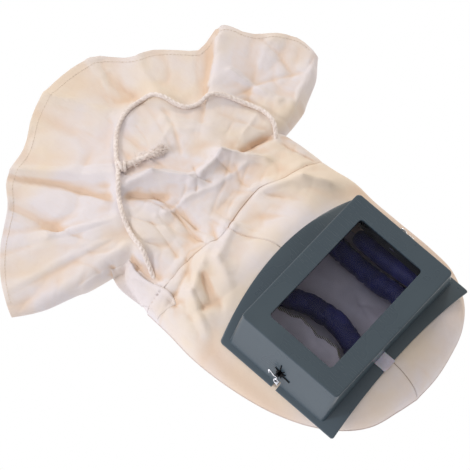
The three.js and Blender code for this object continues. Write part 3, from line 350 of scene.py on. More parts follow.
def flange_hold(x, y):
    z = height_under_flange(x, y)
    u = x * math.cos(plate_tilt) - (z - plate_height) * math.sin(plate_tilt)
    along = np.maximum(np.maximum(flange_chin_edge(y) - u, u - flange_crown_edge(y)), 0)
    across = np.maximum(np.abs(y) - flange_half_width, 0)
    return 1 - smooth_step(cloth_hold_margin, cloth_hold_margin + head_roll_width, np.hypot(along, across))


# Height of the cloth
def cape_point(angle, reach):
    a = math.radians(angle)
    return (-neck_centre_reach - reach * cape_reach * math.cos(a), reach * cape_reach * math.sin(a))


fold_lines = [(cape_point(a0, r0), cape_point(a1, r1), *rest) for a0, r0, a1, r1, *rest in cape_folds]
fold_lines += [
    ((x0 * neck_seam_reach, y0 * head_half_width), (x1 * neck_seam_reach, y1 * head_half_width), *rest)
    for x0, y0, x1, y1, *rest in head_folds
]


def fold_at(x, y, start, end, rise, left, right):
    gap, side = distance_to_line(x, y, [start, end])
    return fold_rise * rise * np.exp(-(gap / (fold_width * np.where(side > 0, left, right))) ** 2)


def plain_height(x, y):
    """Middle of the top cloth, as the solid has it."""
    hem_share = hem_height / neck_height
    reach = np.minimum(np.hypot(np.minimum(x + neck_centre_reach, 0), y) / cape_reach, 1)
    fan = hem_share + (1 - hem_share) * (0.5 + 0.5 * np.cos(math.pi * reach))
    head = 1 - cross_drop * (y / head_half_width) ** 2
    to_head = smooth_step(-neck_centre_reach, -neck_centre_reach + neck_blend, x)
    to_chin = smooth_step(-neck_centre_reach, -chin_blend_reach, x)
    to_crown = smooth_step(-plate_length / 2, plate_length / 2, x)
    crest = mix(mix(neck_height, chin_height, to_chin), crown_height, to_crown)
    height = crest * mix(fan, head, to_head)
    for start, end, rise, left, right in fold_lines:
        height = height + fold_at(x, y, start, end, rise, left, right)
    height = np.maximum(height, hem_height)
    return mix(height, height_under_flange(x, y), flange_hold(x, y))


def rest_height(x, y, radius, clearance):
    slope_x = (plain_height(x + radius, y) - plain_height(x - radius, y)) / (2 * radius)
    slope_y = (plain_height(x, y + radius) - plain_height(x, y - radius)) / (2 * radius)
    offset = cloth_thickness / 2 + clearance + radius
    return plain_height(x, y) + offset * np.sqrt(1 + slope_x ** 2 + slope_y ** 2)


# Making meshes
def add_mesh(name, points, faces, finish, smooth=True):
    """points are plan millimetres."""
    mesh = bpy.data.meshes.new(name)
    mesh.from_pydata([tuple(p) for p in to_row(points)], [], [tuple(f) for f in faces])
    mesh.validate()
    mesh.update()
    if smooth:
        mesh.shade_smooth()
    mesh.materials.append(finish)
    made = bpy.data.objects.new(name, mesh)
    bpy.context.collection.objects.link(made)
    return made


def apply_all(made):
    """Turns a piece's modifiers into plain mesh."""
    bpy.context.view_layer.update()
    seen = made.evaluated_get(bpy.context.evaluated_depsgraph_get())
    mesh = bpy.data.meshes.new_from_object(seen)
    made.modifiers.clear()
    made.data = mesh


def settle(made, *replaced, slot):
    """Applies the modifiers, then lets the piece ride on the hood and stand for its solids."""
    bpy.context.view_layer.update()
    if made.modifiers:
        apply_all(made)
    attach(made, "root")
    if replaced:
        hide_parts(*replaced)
    return made


def grid_faces(rows, columns, wrap=False):
    i, j = np.meshgrid(np.arange(rows - 1), np.arange(columns if wrap else columns - 1), indexing="ij")
    right = (j + 1) % columns
    a, b = i * columns + j, i * columns + right
    return np.stack([a, b, b + columns, a + columns], axis=-1).reshape(-1, 4)


def tube_rings(line, radius_at, sides):
    """Rings of points round a line: radius_at(length along it, angle) in millimetres."""
    lengths = length_along(line)
    runs = unit(np.gradient(line, axis=0))
    side = np.cross(runs[0], [0.0, 0.0, 1.0])
    if np.linalg.norm(side) < 1e-3:
        side = np.array([1.0, 0.0, 0.0])
    angles = np.linspace(0, 2 * math.pi, sides, endpoint=False)
    rings = []
    for point, run, length in zip(line, runs, lengths):
        side = side - run * (side @ run)
        side /= np.linalg.norm(side)
        up = np.cross(run, side)
        radius = radius_at(length, angles) * np.ones(sides)
        ways = np.cos(angles)[:, None] * side + np.sin(angles)[:, None] * up
        rings.append(point + radius[:, None] * ways)
    return np.array(rings)


def tube_parts(line, radius_at, sides, start=0):
    """Points and faces of a closed tube, ready to join with others."""
    rings = tube_rings(line, radius_at, sides)
    points = np.vstack([rings.reshape(-1, 3), line[:1], line[-1:]])
    faces = [tuple(f) for f in grid_faces(len(rings), sides, wrap=True) + start]
    first, last = len(points) - 2, len(points) - 1
    foot = (len(rings) - 1) * sides
    for j in range(sides):
        after = (j + 1) % sides
        faces.append((start + first, start + after, start + j))
        faces.append((start + last, start + foot + j, start + foot + after))
    return points, faces


def add_tubes(name, lines, radius_at, sides, finish):
    points, faces, count = [], [], 0
    for line in lines:
        p, f = tube_parts(np.asarray(line, float), radius_at, sides, count)
        points.append(p)
        faces.extend(f)
        count += len(p)
    return add_mesh(name, np.vstack(points), faces, finish)


def add_threads(name, lines, radius, sides, finish, slot):
    """Plain round threads that stand for no solid."""
    settle(add_tubes(name, lines, lambda at, angles: radius, sides, finish), slot=slot)


# Materials
class Nodes:
    """Adds nodes to a tree. Values that are sockets are linked, others are set."""

    def __init__(self, tree):
        self.tree = tree

    def fill(self, node, values):
        for key, value in values.items():
            socket = node.inputs[key if isinstance(key, int) else key.replace("_", " ")]
            if isinstance(value, bpy.types.NodeSocket):
                self.tree.links.new(value, socket)
            else:
                socket.default_value = value

    def node(self, kind, settings=None, **values):
        made = self.tree.nodes.new(kind)
        for key, value in (settings or {}).items():
            setattr(made, key, value)
        self.fill(made, values)
        return made

    def sum(self, operation, a, b=0.0):
        made = self.tree.nodes.new("ShaderNodeMath")
        made.operation = operation
        self.fill(made, {0: a, 1: b})
        return made.outputs[0]

    def spread(self, value, low, high, to_low=0.0, to_high=1.0):
        made = self.tree.nodes.new("ShaderNodeMapRange")
        self.fill(made, {0: value, 1: low, 2: high, 3: to_low, 4: to_high})
        return made.outputs[0]

    def blend(self, share, a, b):
        made = self.node("ShaderNodeMix", {"data_type": "RGBA"})
        self.fill(made, {0: share, 6: a, 7: b})
        return made.outputs[2]


class Finish(Nodes):
    """A material made of procedural nodes."""

    def __init__(self, name, **values):
        self.material = bpy.data.materials.new(name)
        self.material.use_nodes = True
        super().__init__(self.material.node_tree)
        self.shader = self.tree.nodes["Principled BSDF"]
        self.place = self.node("ShaderNodeTexCoord").outputs["Object"]
        self.fill(self.shader, values)

    def noise(self, scale, detail=3.0, roughness=0.55, stretch=(1, 1, 1)):
        where = self.node("ShaderNodeMapping", Vector=self.place, Scale=stretch).outputs[0]
        return self.node("ShaderNodeTexNoise", Vector=where, Scale=scale, Detail=detail,
                         Roughness=roughness).outputs[0]

    def cloudy(self, noise, low, high, light, dark):
        return self.blend(self.spread(noise, low, high), light, dark)

    def bump(self, height, strength, distance, normal=None):
        values = {"Height": height, "Strength": strength, "Distance": distance}
        if normal is not None:
            values["Normal"] = normal
        return self.node("ShaderNodeBump", **values).outputs[0]

    def weave(self, pitch):
        """Plain weave of threads this many metres apart, seen from above."""
        parts = self.node("ShaderNodeSeparateXYZ", Vector=self.place).outputs
        turn = 2 * math.pi / pitch
        across = self.sum("SINE", self.sum("MULTIPLY", parts[0], turn))
        along = self.sum("SINE", self.sum("MULTIPLY", parts[1], turn))
        return self.sum("MULTIPLY", across, along)

    def set(self, **values):
        self.fill(self.shader, values)
        return self.material


def rgb(r, g, b):
    """Colour read from a photograph, as the shader wants it."""
    linear = [((c / 255 + 0.055) / 1.055) ** 2.4 if c > 10 else c / 255 / 12.92 for c in (r, g, b)]
    return (*linear, 1.0)


def canvas_finish(name, light, warm, shade):
    f = Finish(name, Roughness=0.92, Sheen_Weight=0.08, Sheen_Roughness=0.6, Specular_IOR_Level=0.2)
    fold = f.node("ShaderNodeAttribute", {"attribute_name": "fold"}).outputs["Fac"]
    cloud = f.noise(9.0, 3.0)
    tone = f.cloudy(cloud, 0.42, 0.62, light, warm)
    # Painted shade: the deeper a point lies in a fold, the more its colour turns to the shade colour
    painted_fold_shade = f.sum("MULTIPLY", f.spread(fold, 0.3, -3.2), 0.9)
    tone = f.blend(painted_fold_shade, tone, shade)
    slub = f.noise(420.0, 2.0, stretch=(0.08, 1, 1))
    tone = f.blend(f.spread(slub, 0.55, 0.8, 0.0, 0.12), tone, shade)
    crumple = f.noise(55.0, 4.0, 0.6)
    rough = f.bump(crumple, 0.5, 0.0016)
    threads = f.sum("ADD", f.weave(0.00085), f.sum("MULTIPLY", slub, 0.8))
    fine = f.bump(threads, 0.35, 0.00025, rough)
    return f.set(Base_Color=tone, Normal=fine)


def frame_finish():
    f = Finish("moulded_plastic", Specular_IOR_Level=0.5, Coat_Weight=0.08, Coat_Roughness=0.25)
    cloud = f.noise(14.0, 3.0)
    tone = f.cloudy(cloud, 0.3, 0.7, rgb(61, 76, 86), rgb(67, 82, 91))
    dust = f.noise(240.0, 5.0, 0.7)
    tone = f.blend(f.spread(dust, 0.66, 0.8, 0.0, 0.25), tone, rgb(120, 128, 134))
    scratch = f.noise(90.0, 2.0, stretch=(1, 14, 1))
    rough = f.sum("ADD", f.spread(cloud, 0.3, 0.7, 0.24, 0.32), f.spread(scratch, 0.6, 0.75, 0.0, 0.1))
    grain = f.bump(f.noise(900.0, 2.0), 0.12, 0.0002)
    return f.set(Base_Color=tone, Roughness=rough, Normal=f.bump(scratch, 0.05, 0.0003, grain))


def satin_finish():
    f = Finish("navy_satin", Specular_IOR_Level=0.3)
    tone = f.cloudy(f.noise(40.0), 0.35, 0.65, rgb(34, 35, 86), rgb(46, 49, 118))
    rough = f.spread(f.noise(60.0, 2.0), 0.3, 0.7, 0.46, 0.56)
    puckers = f.bump(f.noise(60.0, 2.0, 0.5, stretch=(1, 0.4, 1)), 0.6, 0.0016)
    return f.set(Base_Color=tone, Roughness=rough, Normal=puckers)


def lining_finish():
    f = Finish("grey_lining", Roughness=0.75, Sheen_Weight=0.08, Sheen_Roughness=0.4)
    tone = f.cloudy(f.noise(25.0), 0.35, 0.65, rgb(206, 199, 212), rgb(222, 214, 226))
    wrinkles = f.bump(f.noise(45.0, 2.0, 0.5), 0.35, 0.0016)
    return f.set(Base_Color=tone, Normal=f.bump(f.weave(0.0005), 0.05, 0.00005, wrinkles))


def rope_finish():
    f = Finish("cotton_rope", Roughness=0.95, Sheen_Weight=0.4, Sheen_Roughness=0.6)
    tone = f.cloudy(f.noise(300.0, 4.0), 0.35, 0.65, rgb(222, 208, 198), rgb(244, 234, 228))
    fibres = f.bump(f.noise(1400.0, 3.0), 0.5, 0.0003)
    return f.set(Base_Color=tone, Normal=fibres)


def thread_finish(name, light, dark):
    f = Finish(name, Roughness=0.85)
    tone = f.cloudy(f.noise(700.0, 3.0), 0.35, 0.65, light, dark)
    return f.set(Base_Color=tone, Normal=f.bump(f.noise(1800.0, 2.0), 0.4, 0.0002))


def rubber_finish():
    f = Finish("black_rubber")
    cloud = f.noise(60.0, 4.0)
    tone = f.cloudy(cloud, 0.4, 0.7, rgb(18, 20, 24), rgb(34, 38, 42))
    return f.set(Base_Color=tone, Roughness=f.spread(cloud, 0.3, 0.7, 0.5, 0.7),
                 Normal=f.bump(f.noise(1200.0), 0.2, 0.0002))


def metal_finish(name, light, dark, low, high):
    f = Finish(name, Metallic=1.0)
    cloud = f.noise(350.0, 3.0)
    tone = f.cloudy(cloud, 0.35, 0.65, light, dark)
    return f.set(Base_Color=tone, Roughness=f.spread(cloud, 0.3, 0.7, low, high),
                 Normal=f.bump(f.noise(1500.0), 0.1, 0.0001))


def tab_finish():
    f = Finish("milky_tab", Roughness=0.3, Subsurface_Weight=0.4, Subsurface_Scale=0.004, IOR=1.49)
    tone = f.cloudy(f.noise(120.0), 0.35, 0.65, rgb(196, 192, 206), rgb(214, 210, 224))
    return f.set(Base_Color=tone, Normal=f.bump(f.noise(260.0), 0.15, 0.0004))


def pane_finish():
    """Clear pane: light goes straight through, and its face reflects more at a low angle."""
    f = Finish("window_pane")
    tree = f.tree
    smear = f.noise(26.0, 3.0)
    clear = f.node("ShaderNodeBsdfTransparent", Color=f.blend(f.spread(smear, 0.3, 0.7),
                   (0.93, 0.94, 0.96, 1), (0.88, 0.9, 0.93, 1)))
    gloss = f.node("ShaderNodeBsdfGlossy", Roughness=f.spread(smear, 0.4, 0.8, 0.03, 0.12))
    face = f.node("ShaderNodeFresnel", IOR=1.45)
    both = f.node("ShaderNodeMixShader")
    f.fill(both, {0: f.sum("MULTIPLY", face.outputs[0], 0.25), 1: clear.outputs[0], 2: gloss.outputs[0]})
    tree.links.new(both.outputs[0], tree.nodes["Material Output"].inputs["Surface"])
    tree.nodes.remove(f.shader)
    return f.material


# The last colour of each canvas serves as painted shade in the folds and as the tone of the thicker threads
canvas = canvas_finish("cotton_canvas", rgb(232, 225, 226), rgb(237, 222, 204), rgb(228, 201, 176))
canvas_back = canvas_finish("cotton_canvas_back", rgb(228, 215, 212), rgb(228, 211, 200),
                            rgb(215, 191, 172))
moulded_plastic = frame_finish()
navy_satin = satin_finish()
grey_lining = lining_finish()
cotton_rope = rope_finish()
cream_thread = thread_finish("cream_thread", rgb(238, 226, 210), rgb(214, 198, 180))
olive_thread = thread_finish("olive_thread", rgb(138, 130, 106), rgb(100, 94, 78))
# Painted shade: the dark colour of the seam strips that show in the gaps of the neck and crown seams
painted_seam_shade = thread_finish("painted_seam_shade", rgb(198, 172, 152), rgb(178, 152, 134))
black_rubber = rubber_finish()
black_steel = metal_finish("black_steel", rgb(34, 34, 38), rgb(20, 20, 24), 0.35, 0.5)
chrome_wire = metal_finish("chrome_wire", rgb(238, 240, 244), rgb(205, 208, 214), 0.12, 0.3)
milky_tab = tab_finish()
window_pane = pane_finish()


def give(node, finish):
    for place in nodes[node].material_slots:
        place.material = finish


for name in ("star_washer_left", "star_washer_right", "retainer_screw"):
    give(name, black_steel)
for name in ("glass_gasket", "retainer_strip"):
    give(name, black_rubber)
give("retainer_clip", chrome_wire)
give("crown_tab", milky_tab)
give("window_glass", window_pane)


# Drawcord
rope_step = 0.8
rope_sides = 24


def rope_radius(radius):
    """Three strands that turn round each other."""
    def at(length, angles):
        turn = 1.5 * (angles - 2 * math.pi * length / strand_pitch)
        return radius * (0.66 + 0.34 * np.sqrt(np.abs(np.cos(turn))))
    return at


def add_rope(name, points, radius, node):
    line = even_line(points, rope_step)
    made = add_tubes(name, [line], rope_radius(radius), rope_sides, cotton_rope)
    settle(made, node, slot="cotton_rope")
    return line


def resting(route, radius, clearance):
    route = np.array(route, float)
    return np.column_stack([route[:, :2], rest_height(route[:, 0], route[:, 1], radius, clearance)])


cord_sinks = np.array([[0, 0, sink] for _, _, sink in cord_route])
cord_points = resting(cord_route, cord_radius, cord_clearance) - cord_sinks


def onwards(end, before, reach):
    return end + unit(end - before) * reach


def hidden_cord_points():
    rest = cloth_thickness + piece_gap + cord_radius
    middle = [(x, y, rest + lift) for x, y, lift in hidden_cord_route]
    left, right = (cord_points[0], cord_points[1]), (cord_points[-1], cord_points[-2])
    return np.array([onwards(*left, cord_end_gap), onwards(*left, 2 * cord_radius), *middle,
                     onwards(*right, 2 * cord_radius), onwards(*right, cord_end_gap)])


rope_line = add_rope("rope_front", cord_points, cord_radius, "drawcord")
add_rope("rope_back", hidden_cord_points(), cord_radius, "drawcord_back")
tail_points = resting(tail_route, tail_radius, tail_clearance)
tail_line = add_rope("rope_tail", tail_points, tail_radius, "cord_tail")


# Cloth surfaces
def neck_seam_at(y):
    return -neck_seam_reach + neck_seam_skew * y / head_half_width


def seam_wave_at(x, y):
    """Bends the cloth's rows to the wavy seam, with a shift along x that fades away from it."""
    across = neck_seam_wave[:, 0]
    share = (y - across[0]) / (across[-1] - across[0])
    values = np.array([column_at(neck_seam_wave, 1, t) for t in np.ravel(share)]).reshape(np.shape(y))
    fade = np.exp(-((x - neck_seam_at(y)) / seam_wave_reach) ** 2)
    return values * fade * (1 - smooth_step(across[-1], head_half_width, np.abs(y)))


def centre_seam_at(x):
    at_chin = mix(centre_seam_offset, chin_seam_offset, smooth_step(-neck_seam_reach, -chin_blend_reach, x))
    return mix(at_chin, centre_seam_offset, smooth_step(-plate_length / 2, spine_end_reach, x))


seam_start = -178
seam_xs = np.linspace(seam_start, spine_end_reach, 60)
centre_seam = np.column_stack([seam_xs, centre_seam_at(seam_xs)])
seam_ys = np.linspace(-0.93 * head_half_width, 0.98 * head_half_width, 60)
straight_seam = neck_seam_at(seam_ys)
neck_seam = np.column_stack([straight_seam + seam_wave_at(straight_seam, seam_ys), seam_ys])

# Creases finer than the solid's folds: their line, rise and width on each side, millimetres
creases = [
    ([(-438, -8), (-399, 9), (-361, 26)], 2.4, 12, 5),
    ([(-427, 66), (-401, 51), (-373, 32)], 2.2, 6, 9),
    ([(-399, 61), (-379, 59), (-360, 59)], -2.0, 5, 5),
    ([(-394, -95), (-350, -61), (-310, -30)], 2.2, 6, 10),
    ([(-396, -110), (-343, -84), (-286, -57)], -2.4, 9, 6),
    ([(-367, -132), (-319, -125)], -4.0, 12, 3),
    ([(-315, -128), (-268, -77)], -2.0, 6, 6),
    ([(-327, 158), (-308, 131)], -3.0, 5, 9),
    ([(-299, 152), (-231, 160)], 1.6, 6, 6),
    ([(-272, 130), (-263, 166), (-240, 205)], -2.0, 6, 6),
    ([(-227, -91), (-247, -156), (-248, -210)], -2.4, 7, 10),
    ([(-246, -83), (-282, -150), (-301, -212)], 2.0, 9, 9),
    ([(-205, -89), (-219, -124)], -3.0, 4, 5),
    ([(-202, 132), (-216, 177), (-229, 209)], -2.0, 6, 9),
    ([(-258, 140), (-282, 188), (-293, 214)], 2.4, 4, 12),
    ([(-284, -47), (-280, -24), (-260, -3), (-233, 9)], 2.6, 5, 9),
    ([(-272, -45), (-241, -23)], -2.6, 6, 6),
    ([(-252, -29), (-224, -25), (-189, -30)], -1.5, 2.4, 2.4),
    ([(-226, 15), (-227, 56), (-208, 74), (-184, 85)], 2.6, 9, 5),
    ([(-215, 77), (-213, 98), (-207, 114), (-193, 117), (-150, 121)], -3.4, 3.6, 5),
    ([(-169, -35), (-138, -94), (-72, -130)], 1.5, 8, 8),
    ([(-222, -97), (-200, -102), (-172, -100), (-153, -102)], -3.0, 4, 4),
    ([(-155, -100), (-153, -130)], -2.4, 4, 4),
    ([(-154, -100), (-160, -78)], -2.4, 4, 4),
    ([(-226, 15), (-212, 22)], -1.6, 2.4, 2.4),
    ([(-226, 15), (-240, 24)], -1.6, 2.4, 2.4),
    ([(-226, 15), (-216, 2)], -1.6, 2.4, 2.4),
    ([(-226, 15), (-236, 2)], -1.6, 2.4, 2.4),
    ([(-164, -10), (-145, -49), (-97, -70)], 2.0, 8, 8),
    ([(-174, 42), (-139, 86), (-110, 103)], 2.0, 8, 8),
    ([(-164, -40), (-174, -56), (-171, -66)], -1.5, 2.4, 2.4),
    ([(-401, -107), (-378, -95), (-346, -80), (-283, -62)], -3.4, 14, 4),
    ([(-369, -135), (-341, -127), (-310, -122), (-283, -115)], -2.4, 4, 9),
    ([(-301, 211), (-273, 209), (-251, 200)], -2.2, 6, 6),
    ([(-421, 67), (-395, 58), (-369, 52)], -2.6, 4, 12),
    ([(-361, 51), (-350, 34), (-346, 12), (-334, -10)], -1.8, 5, 5),
    ([(-233, -116), (-208, -111), (-186, -108), (-166, -108), (-147, -110)], -6.0, 3.5, 7),
    ([(-259, -27), (-236, -28), (-225, -29)], -1.8, 3, 4),
    ([(-221, -28), (-204, -34), (-189, -39), (-170, -39)], -3.0, 4, 7),
    ([(-166, -68), (-141, -90), (-117, -99)], -3.0, 6, 9),
    ([(-176, -18), (-154, -33)], -2.0, 5, 5),
    ([(-158, -5), (-124, 5), (-101, 13)], -1.0, 3, 3),
    ([(-205, -89), (-195, -97), (-183, -101), (-172, -101)], -7.0, 6, 5),
    ([(-215, 92), (-212, 108), (-206, 120), (-199, 123)], -4.5, 4, 4),
    ([(-118, -97), (-108, -78), (-101, -55)], -5.0, 7, 12),
    ([(-150, -62), (-126, -72), (-104, -88)], 2.6, 7, 7),
    ([(-144, -104), (-127, -112), (-104, -120)], -2.6, 5, 7),
    ([(-138, -100), (-112, -104), (-84, -112)], -2.6, 5, 8),
    ([(-120, -112), (-80, -122), (-30, -124)], -2.0, 6, 6),
    ([(-225, -19), (-200, -27), (-183, -30), (-163, -28)], -2.2, 5, 7),
    ([(-231, -55), (-210, -60), (-181, -68)], -2.0, 4, 6),
    ([(-231, -48), (-208, -52), (-183, -59)], 1.4, 5, 5),
    ([(-136, -77), (-118, -87)], -2.4, 5, 5),
    ([(-226, -39), (-218, -7), (-205, 20), (-198, 71)], 2.6, 8, 5),
    ([(-206, 56), (-190, 45), (-176, 45)], -1.8, 4, 6),
    ([(-242, 149), (-235, 121), (-230, 96)], 1.8, 7, 5),
    ([(-231, 46), (-215, 48), (-204, 47)], -1.6, 4, 4),
    ([(-291, 30), (-297, 48), (-281, 55), (-272, 64)], 1.6, 6, 6),
    ([(-184, -1), (-186, 31), (-160, 47), (-137, 55)], -1.6, 6, 8),
    ([(-233, -126), (-219, -99), (-199, -101), (-179, -103), (-145, -109)], -3.0, 4, 3),
    ([(-250, -36), (-230, -34), (-215, -30), (-193, -35), (-174, -39), (-163, -40)], -1.4, 1.8, 1.8),
]


def crease(share):
    """Profile of a pressed crease: sharp along its line and soft away from it."""
    return np.exp(-1.6 * (np.sqrt(share ** 2 + 0.01) - 0.1))


# Along each seam the cloth dips, and swells beside the dip
seam_dip, seam_dip_width = 1.3, 2.2
seam_swell, seam_swell_place, seam_swell_width = 0.6, 6, 4
crease_gain = 1.25
# Ridges that fan out over the cape: turns, length of one, height, seed
fan_ridges = ((1.0, 90, 2.2, 6), (2.3, 60, 1.1, 7))
fan_centre, fan_count = -215, 9
cape_blend = (-290, -250)
# Ridges across the neck: length across and along, height, seed
neck_ridges = ((52, 24, 1.6, 8), (20, 27, 0.9, 9))
# Crumples: pitch, shift of the noise in x and y, height, seed
crumples = ((38, 3, 0, 1.5, 3), (15, 0, 5, 0.9, 4), (7, 0, 0, 0.3, 5))
crumple_centre, crumple_reach = -205, 60
rope_bed_width, rope_bed_rise = 9, 0.5


def fine_height(x, y):
    """Middle of the top cloth with its creases, seams and crumples."""
    extra = np.zeros(x.shape)
    for line, rise, left, right in creases:
        gap, side = distance_to_line(x, y, line)
        extra += crease_gain * rise * crease(gap / np.where(side > 0, left, right))
    for start, end, rise, left, right in fold_lines:
        gap, side = distance_to_line(x, y, [start, end])
        share = gap / (fold_width * np.where(side > 0, left, right))
        extra += fold_rise * rise * (crease(share) - np.exp(-share ** 2))
    for line in (centre_seam, neck_seam):
        gap, _ = distance_to_line(x, y, line)
        extra += (-seam_dip * np.exp(-(gap / seam_dip_width) ** 2)
                  + seam_swell * np.exp(-((gap - seam_swell_place) / seam_swell_width) ** 2))
    crumpled = 0.45 + 0.75 * np.exp(-((x - crumple_centre) / crumple_reach) ** 2)
    reach = np.hypot(x - fan_centre, y)
    around = np.arctan2(y, -(x - fan_centre)) / math.pi * fan_count
    in_cape = 1 - smooth_step(*cape_blend, x)
    for turns, length, depth, seed in fan_ridges:
        line = np.abs(value_noise(turns * around + 30, reach / length + 3, seed))
        extra -= in_cape * depth * np.maximum(1 - line / 0.25, 0)
    for across, along, depth, seed in neck_ridges:
        line = np.abs(value_noise((x + 0.4 * y) / across + 9, (y - 0.4 * x) / along, seed))
        extra -= crumpled * (1 - in_cape) * depth * np.maximum(1 - line / 0.3, 0)
    extra += crumpled * sum(rise * value_noise(x / pitch + shift_x, y / pitch + shift_y, seed)
                            for pitch, shift_x, shift_y, rise, seed in crumples)
    to_rope, _ = distance_to_line(x, y, rope_line[::8, :2])
    to_tail, _ = distance_to_line(x, y, tail_line[::6, :2])
    near = np.exp(-(np.minimum(to_rope, to_tail) / rope_bed_width) ** 2)
    extra = extra * (1 - near) + rope_bed_rise * near
    height = plain_height(x, y) + extra * (1 - flange_hold(x, y))
    return np.maximum(height, 0.8 * hem_height)


def rolled_edge(k, width, length):
    """How far in from an edge, and how high as a share, a point at share k is."""
    turn = np.clip(k / roll_share, 0, 1) * math.pi / 2
    flat = mix(width, length, np.clip((k - roll_share) / (1 - roll_share), 0, 1))
    inward = np.where(k < roll_share, width * (1 - np.cos(turn)), flat)
    return inward, np.where(k < roll_share, np.sin(turn), 1.0)


def head_curve(rows):
    reach = [(along * (neck_seam_reach if along < 0 else crown_reach), across * head_half_width, 0.0)
             for along, across in rows]
    return smooth_line(reach)


head_curves = {
    "left": head_curve(head_outline[:crown_tip_row + 1]),
    "right": head_curve(head_outline[crown_tip_row:][::-1]),
}


def head_surface(side, us, ks):
    line, lengths = head_curves[side]
    edge = at_length(line, lengths, us * lengths[-1])[:, None, :]
    shift = neck_seam_at(centre_seam_at(edge[..., 0])) - neck_seam_at(edge[..., 1])
    near_seam = 1 - smooth_step(-neck_seam_reach, -plate_length / 2, edge[..., 0])
    spine_x = np.minimum(edge[..., 0] + shift * near_seam, spine_end_reach)
    away = np.stack([spine_x - edge[..., 0], centre_seam_at(spine_x) - edge[..., 1]], axis=-1)
    reach = np.linalg.norm(away, axis=-1)
    inward, rise = rolled_edge(ks[None, :], head_roll_width, reach)
    plan = edge[..., :2] + away / reach[..., None] * inward[..., None]
    plan[..., 0] += seam_wave_at(plan[..., 0], plan[..., 1])
    height = fine_height(plan[..., 0], plan[..., 1])
    gap = -seam_gap / 2 if side == "left" else seam_gap / 2
    return np.stack([plan[..., 0] + seam_gap / 2, plan[..., 1] + gap,
                     cloth_foot + (height - cloth_foot) * rise], axis=-1)


def hem_scallop(angles):
    at, reach = hem_scallops[:, 0], hem_scallops[:, 1]
    index = np.clip(np.searchsorted(at, angles, side="right") - 1, 0, len(at) - 2)
    slopes = np.empty(len(at))
    for i in range(len(at)):
        low, high = max(i - 1, 0), min(i + 1, len(at) - 1)
        slopes[i] = (reach[high] - reach[low]) / (at[high] - at[low])
    span = at[index + 1] - at[index]
    t = (angles - at[index]) / span
    rise = mix(reach[index], reach[index + 1], t * t * (3 - 2 * t))
    bend = slopes[index] * span * t * (1 - t) ** 2 - slopes[index + 1] * span * t * t * (1 - t)
    return cape_reach * (rise + bend)


def section_points(share, angles):
    turn = np.radians(np.abs(angles))
    across, around = np.sin(turn), np.cos(turn)
    mid, left, right, wide_left, wide_right, bow = (column_at(cape_sections, c, share) for c in range(6))
    to_neck = smooth_step(0, 0.25, share)
    half = mix(head_half_width, neck_half_width, to_neck)
    half = mix(half, cape_half_width, smooth_step(0.3, 0.55, share))
    y = np.sign(angles) * across * half * np.where(angles < 0, wide_left, wide_right)
    reach = mix(np.where(angles < 0, left, right), mid, mix(1 - across, around, bow))
    x = mix(neck_seam_at(y), -neck_centre_reach, to_neck) - reach * cape_reach
    out = unit(np.stack([x + neck_centre_reach, y], axis=-1))
    return np.stack([x, y], axis=-1) + out * (hem_scallop(angles) * smooth_step(0.6, 1, share))[:, None]


def cape_surface(shares, ks):
    rows = []
    for share in shares:
        points = section_points(share, np.linspace(-90, 90, 61))
        lengths = length_along(points)
        total = lengths[-1]
        width = mix(head_roll_width, cape_roll_width, smooth_step(0.1, 0.6, share))
        inward, rise = rolled_edge(np.where(ks < 0.5, 2 * ks, 2 - 2 * ks), width, total / 2)
        plan = at_length(points, lengths, np.where(ks < 0.5, inward, total - inward))
        plan[:, 0] += seam_wave_at(plan[:, 0], plan[:, 1])
        height = fine_height(plan[:, 0], plan[:, 1])
        rows.append(np.column_stack([plan[:, 0] - seam_gap / 2, plan[:, 1],
                                     cloth_foot + (height - cloth_foot) * rise]))
    return np.array(rows)


cavity_reaches = (9, 24)
cavity_far_share = 0.35


def cavity(points):
    """How far each point lies below its surroundings, in millimetres: below 0 in a fold."""
    x, y = points[..., 0], points[..., 1]
    ways = ((1, 0), (-1, 0), (0, 1), (0, -1))
    near, far = (sum(fine_height(x + reach * dx, y + reach * dy) for dx, dy in ways) / 4
                 for reach in cavity_reaches)
    return fine_height(x, y) - mix(near, far, cavity_far_share)


def thicken(made, thickness):
    solid = made.modifiers.new("thickness", "SOLIDIFY")
    solid.thickness = thickness / 1000
    solid.offset = 0.0
    solid.use_even_offset = False


def add_thin_sheet(name, grid, finish, thickness):
    """A small sheet that stands for no solid."""
    made = add_mesh(name, grid.reshape(-1, 3), grid_faces(*grid.shape[:2]), finish)
    thicken(made, thickness)
    return settle(made, slot="canvas")


def shown_cloth(name, surface, finish, node, hole=None):
    """Cloth thinner than its solid, which keeps the solid's upper face."""
    rows, columns = surface.shape[:2]
    flat = surface.reshape(-1, 3)
    faces = grid_faces(rows, columns)
    # fold is each point's depth below its surroundings, which the canvas shader turns into painted shade
    fold = cavity(surface).ravel()
    if hole is not None:
        flat, faces, fold = cut_hole(flat, faces, fold, hole)
    flat = flat + np.array([0, 0, (cloth_thickness - shown_thickness) / 2])
    made = add_mesh(name, flat, faces, finish)
    made.data.attributes.new("fold", "FLOAT", "POINT").data.foreach_set("value", fold.astype(np.float32))
    thicken(made, shown_thickness)
    area = sheet_area(flat, faces)
    settle(made, node, slot="canvas")
    return made, area


def sheet_area(points, faces):
    p = to_row(points)
    a, b, c, d = (p[faces[:, i]] for i in range(4))
    half = lambda u, v: np.linalg.norm(np.cross(u, v), axis=1).sum() / 2
    return half(b - a, c - a) + half(c - a, d - a)


def frame_local(points):
    """u to the crown, w across and n out of the plate, for plan points."""
    x, y, z = points[:, 0], points[:, 1], points[:, 2] - plate_height
    c, s = math.cos(plate_tilt), math.sin(plate_tilt)
    return np.stack([x * c - z * s, y, x * s + z * c], axis=-1)


def from_frame_local(points):
    c, s = math.cos(plate_tilt), math.sin(plate_tilt)
    u, w, n = points[..., 0], points[..., 1], points[..., 2]
    return np.stack([u * c + n * s, w, plate_height - u * s + n * c], axis=-1)


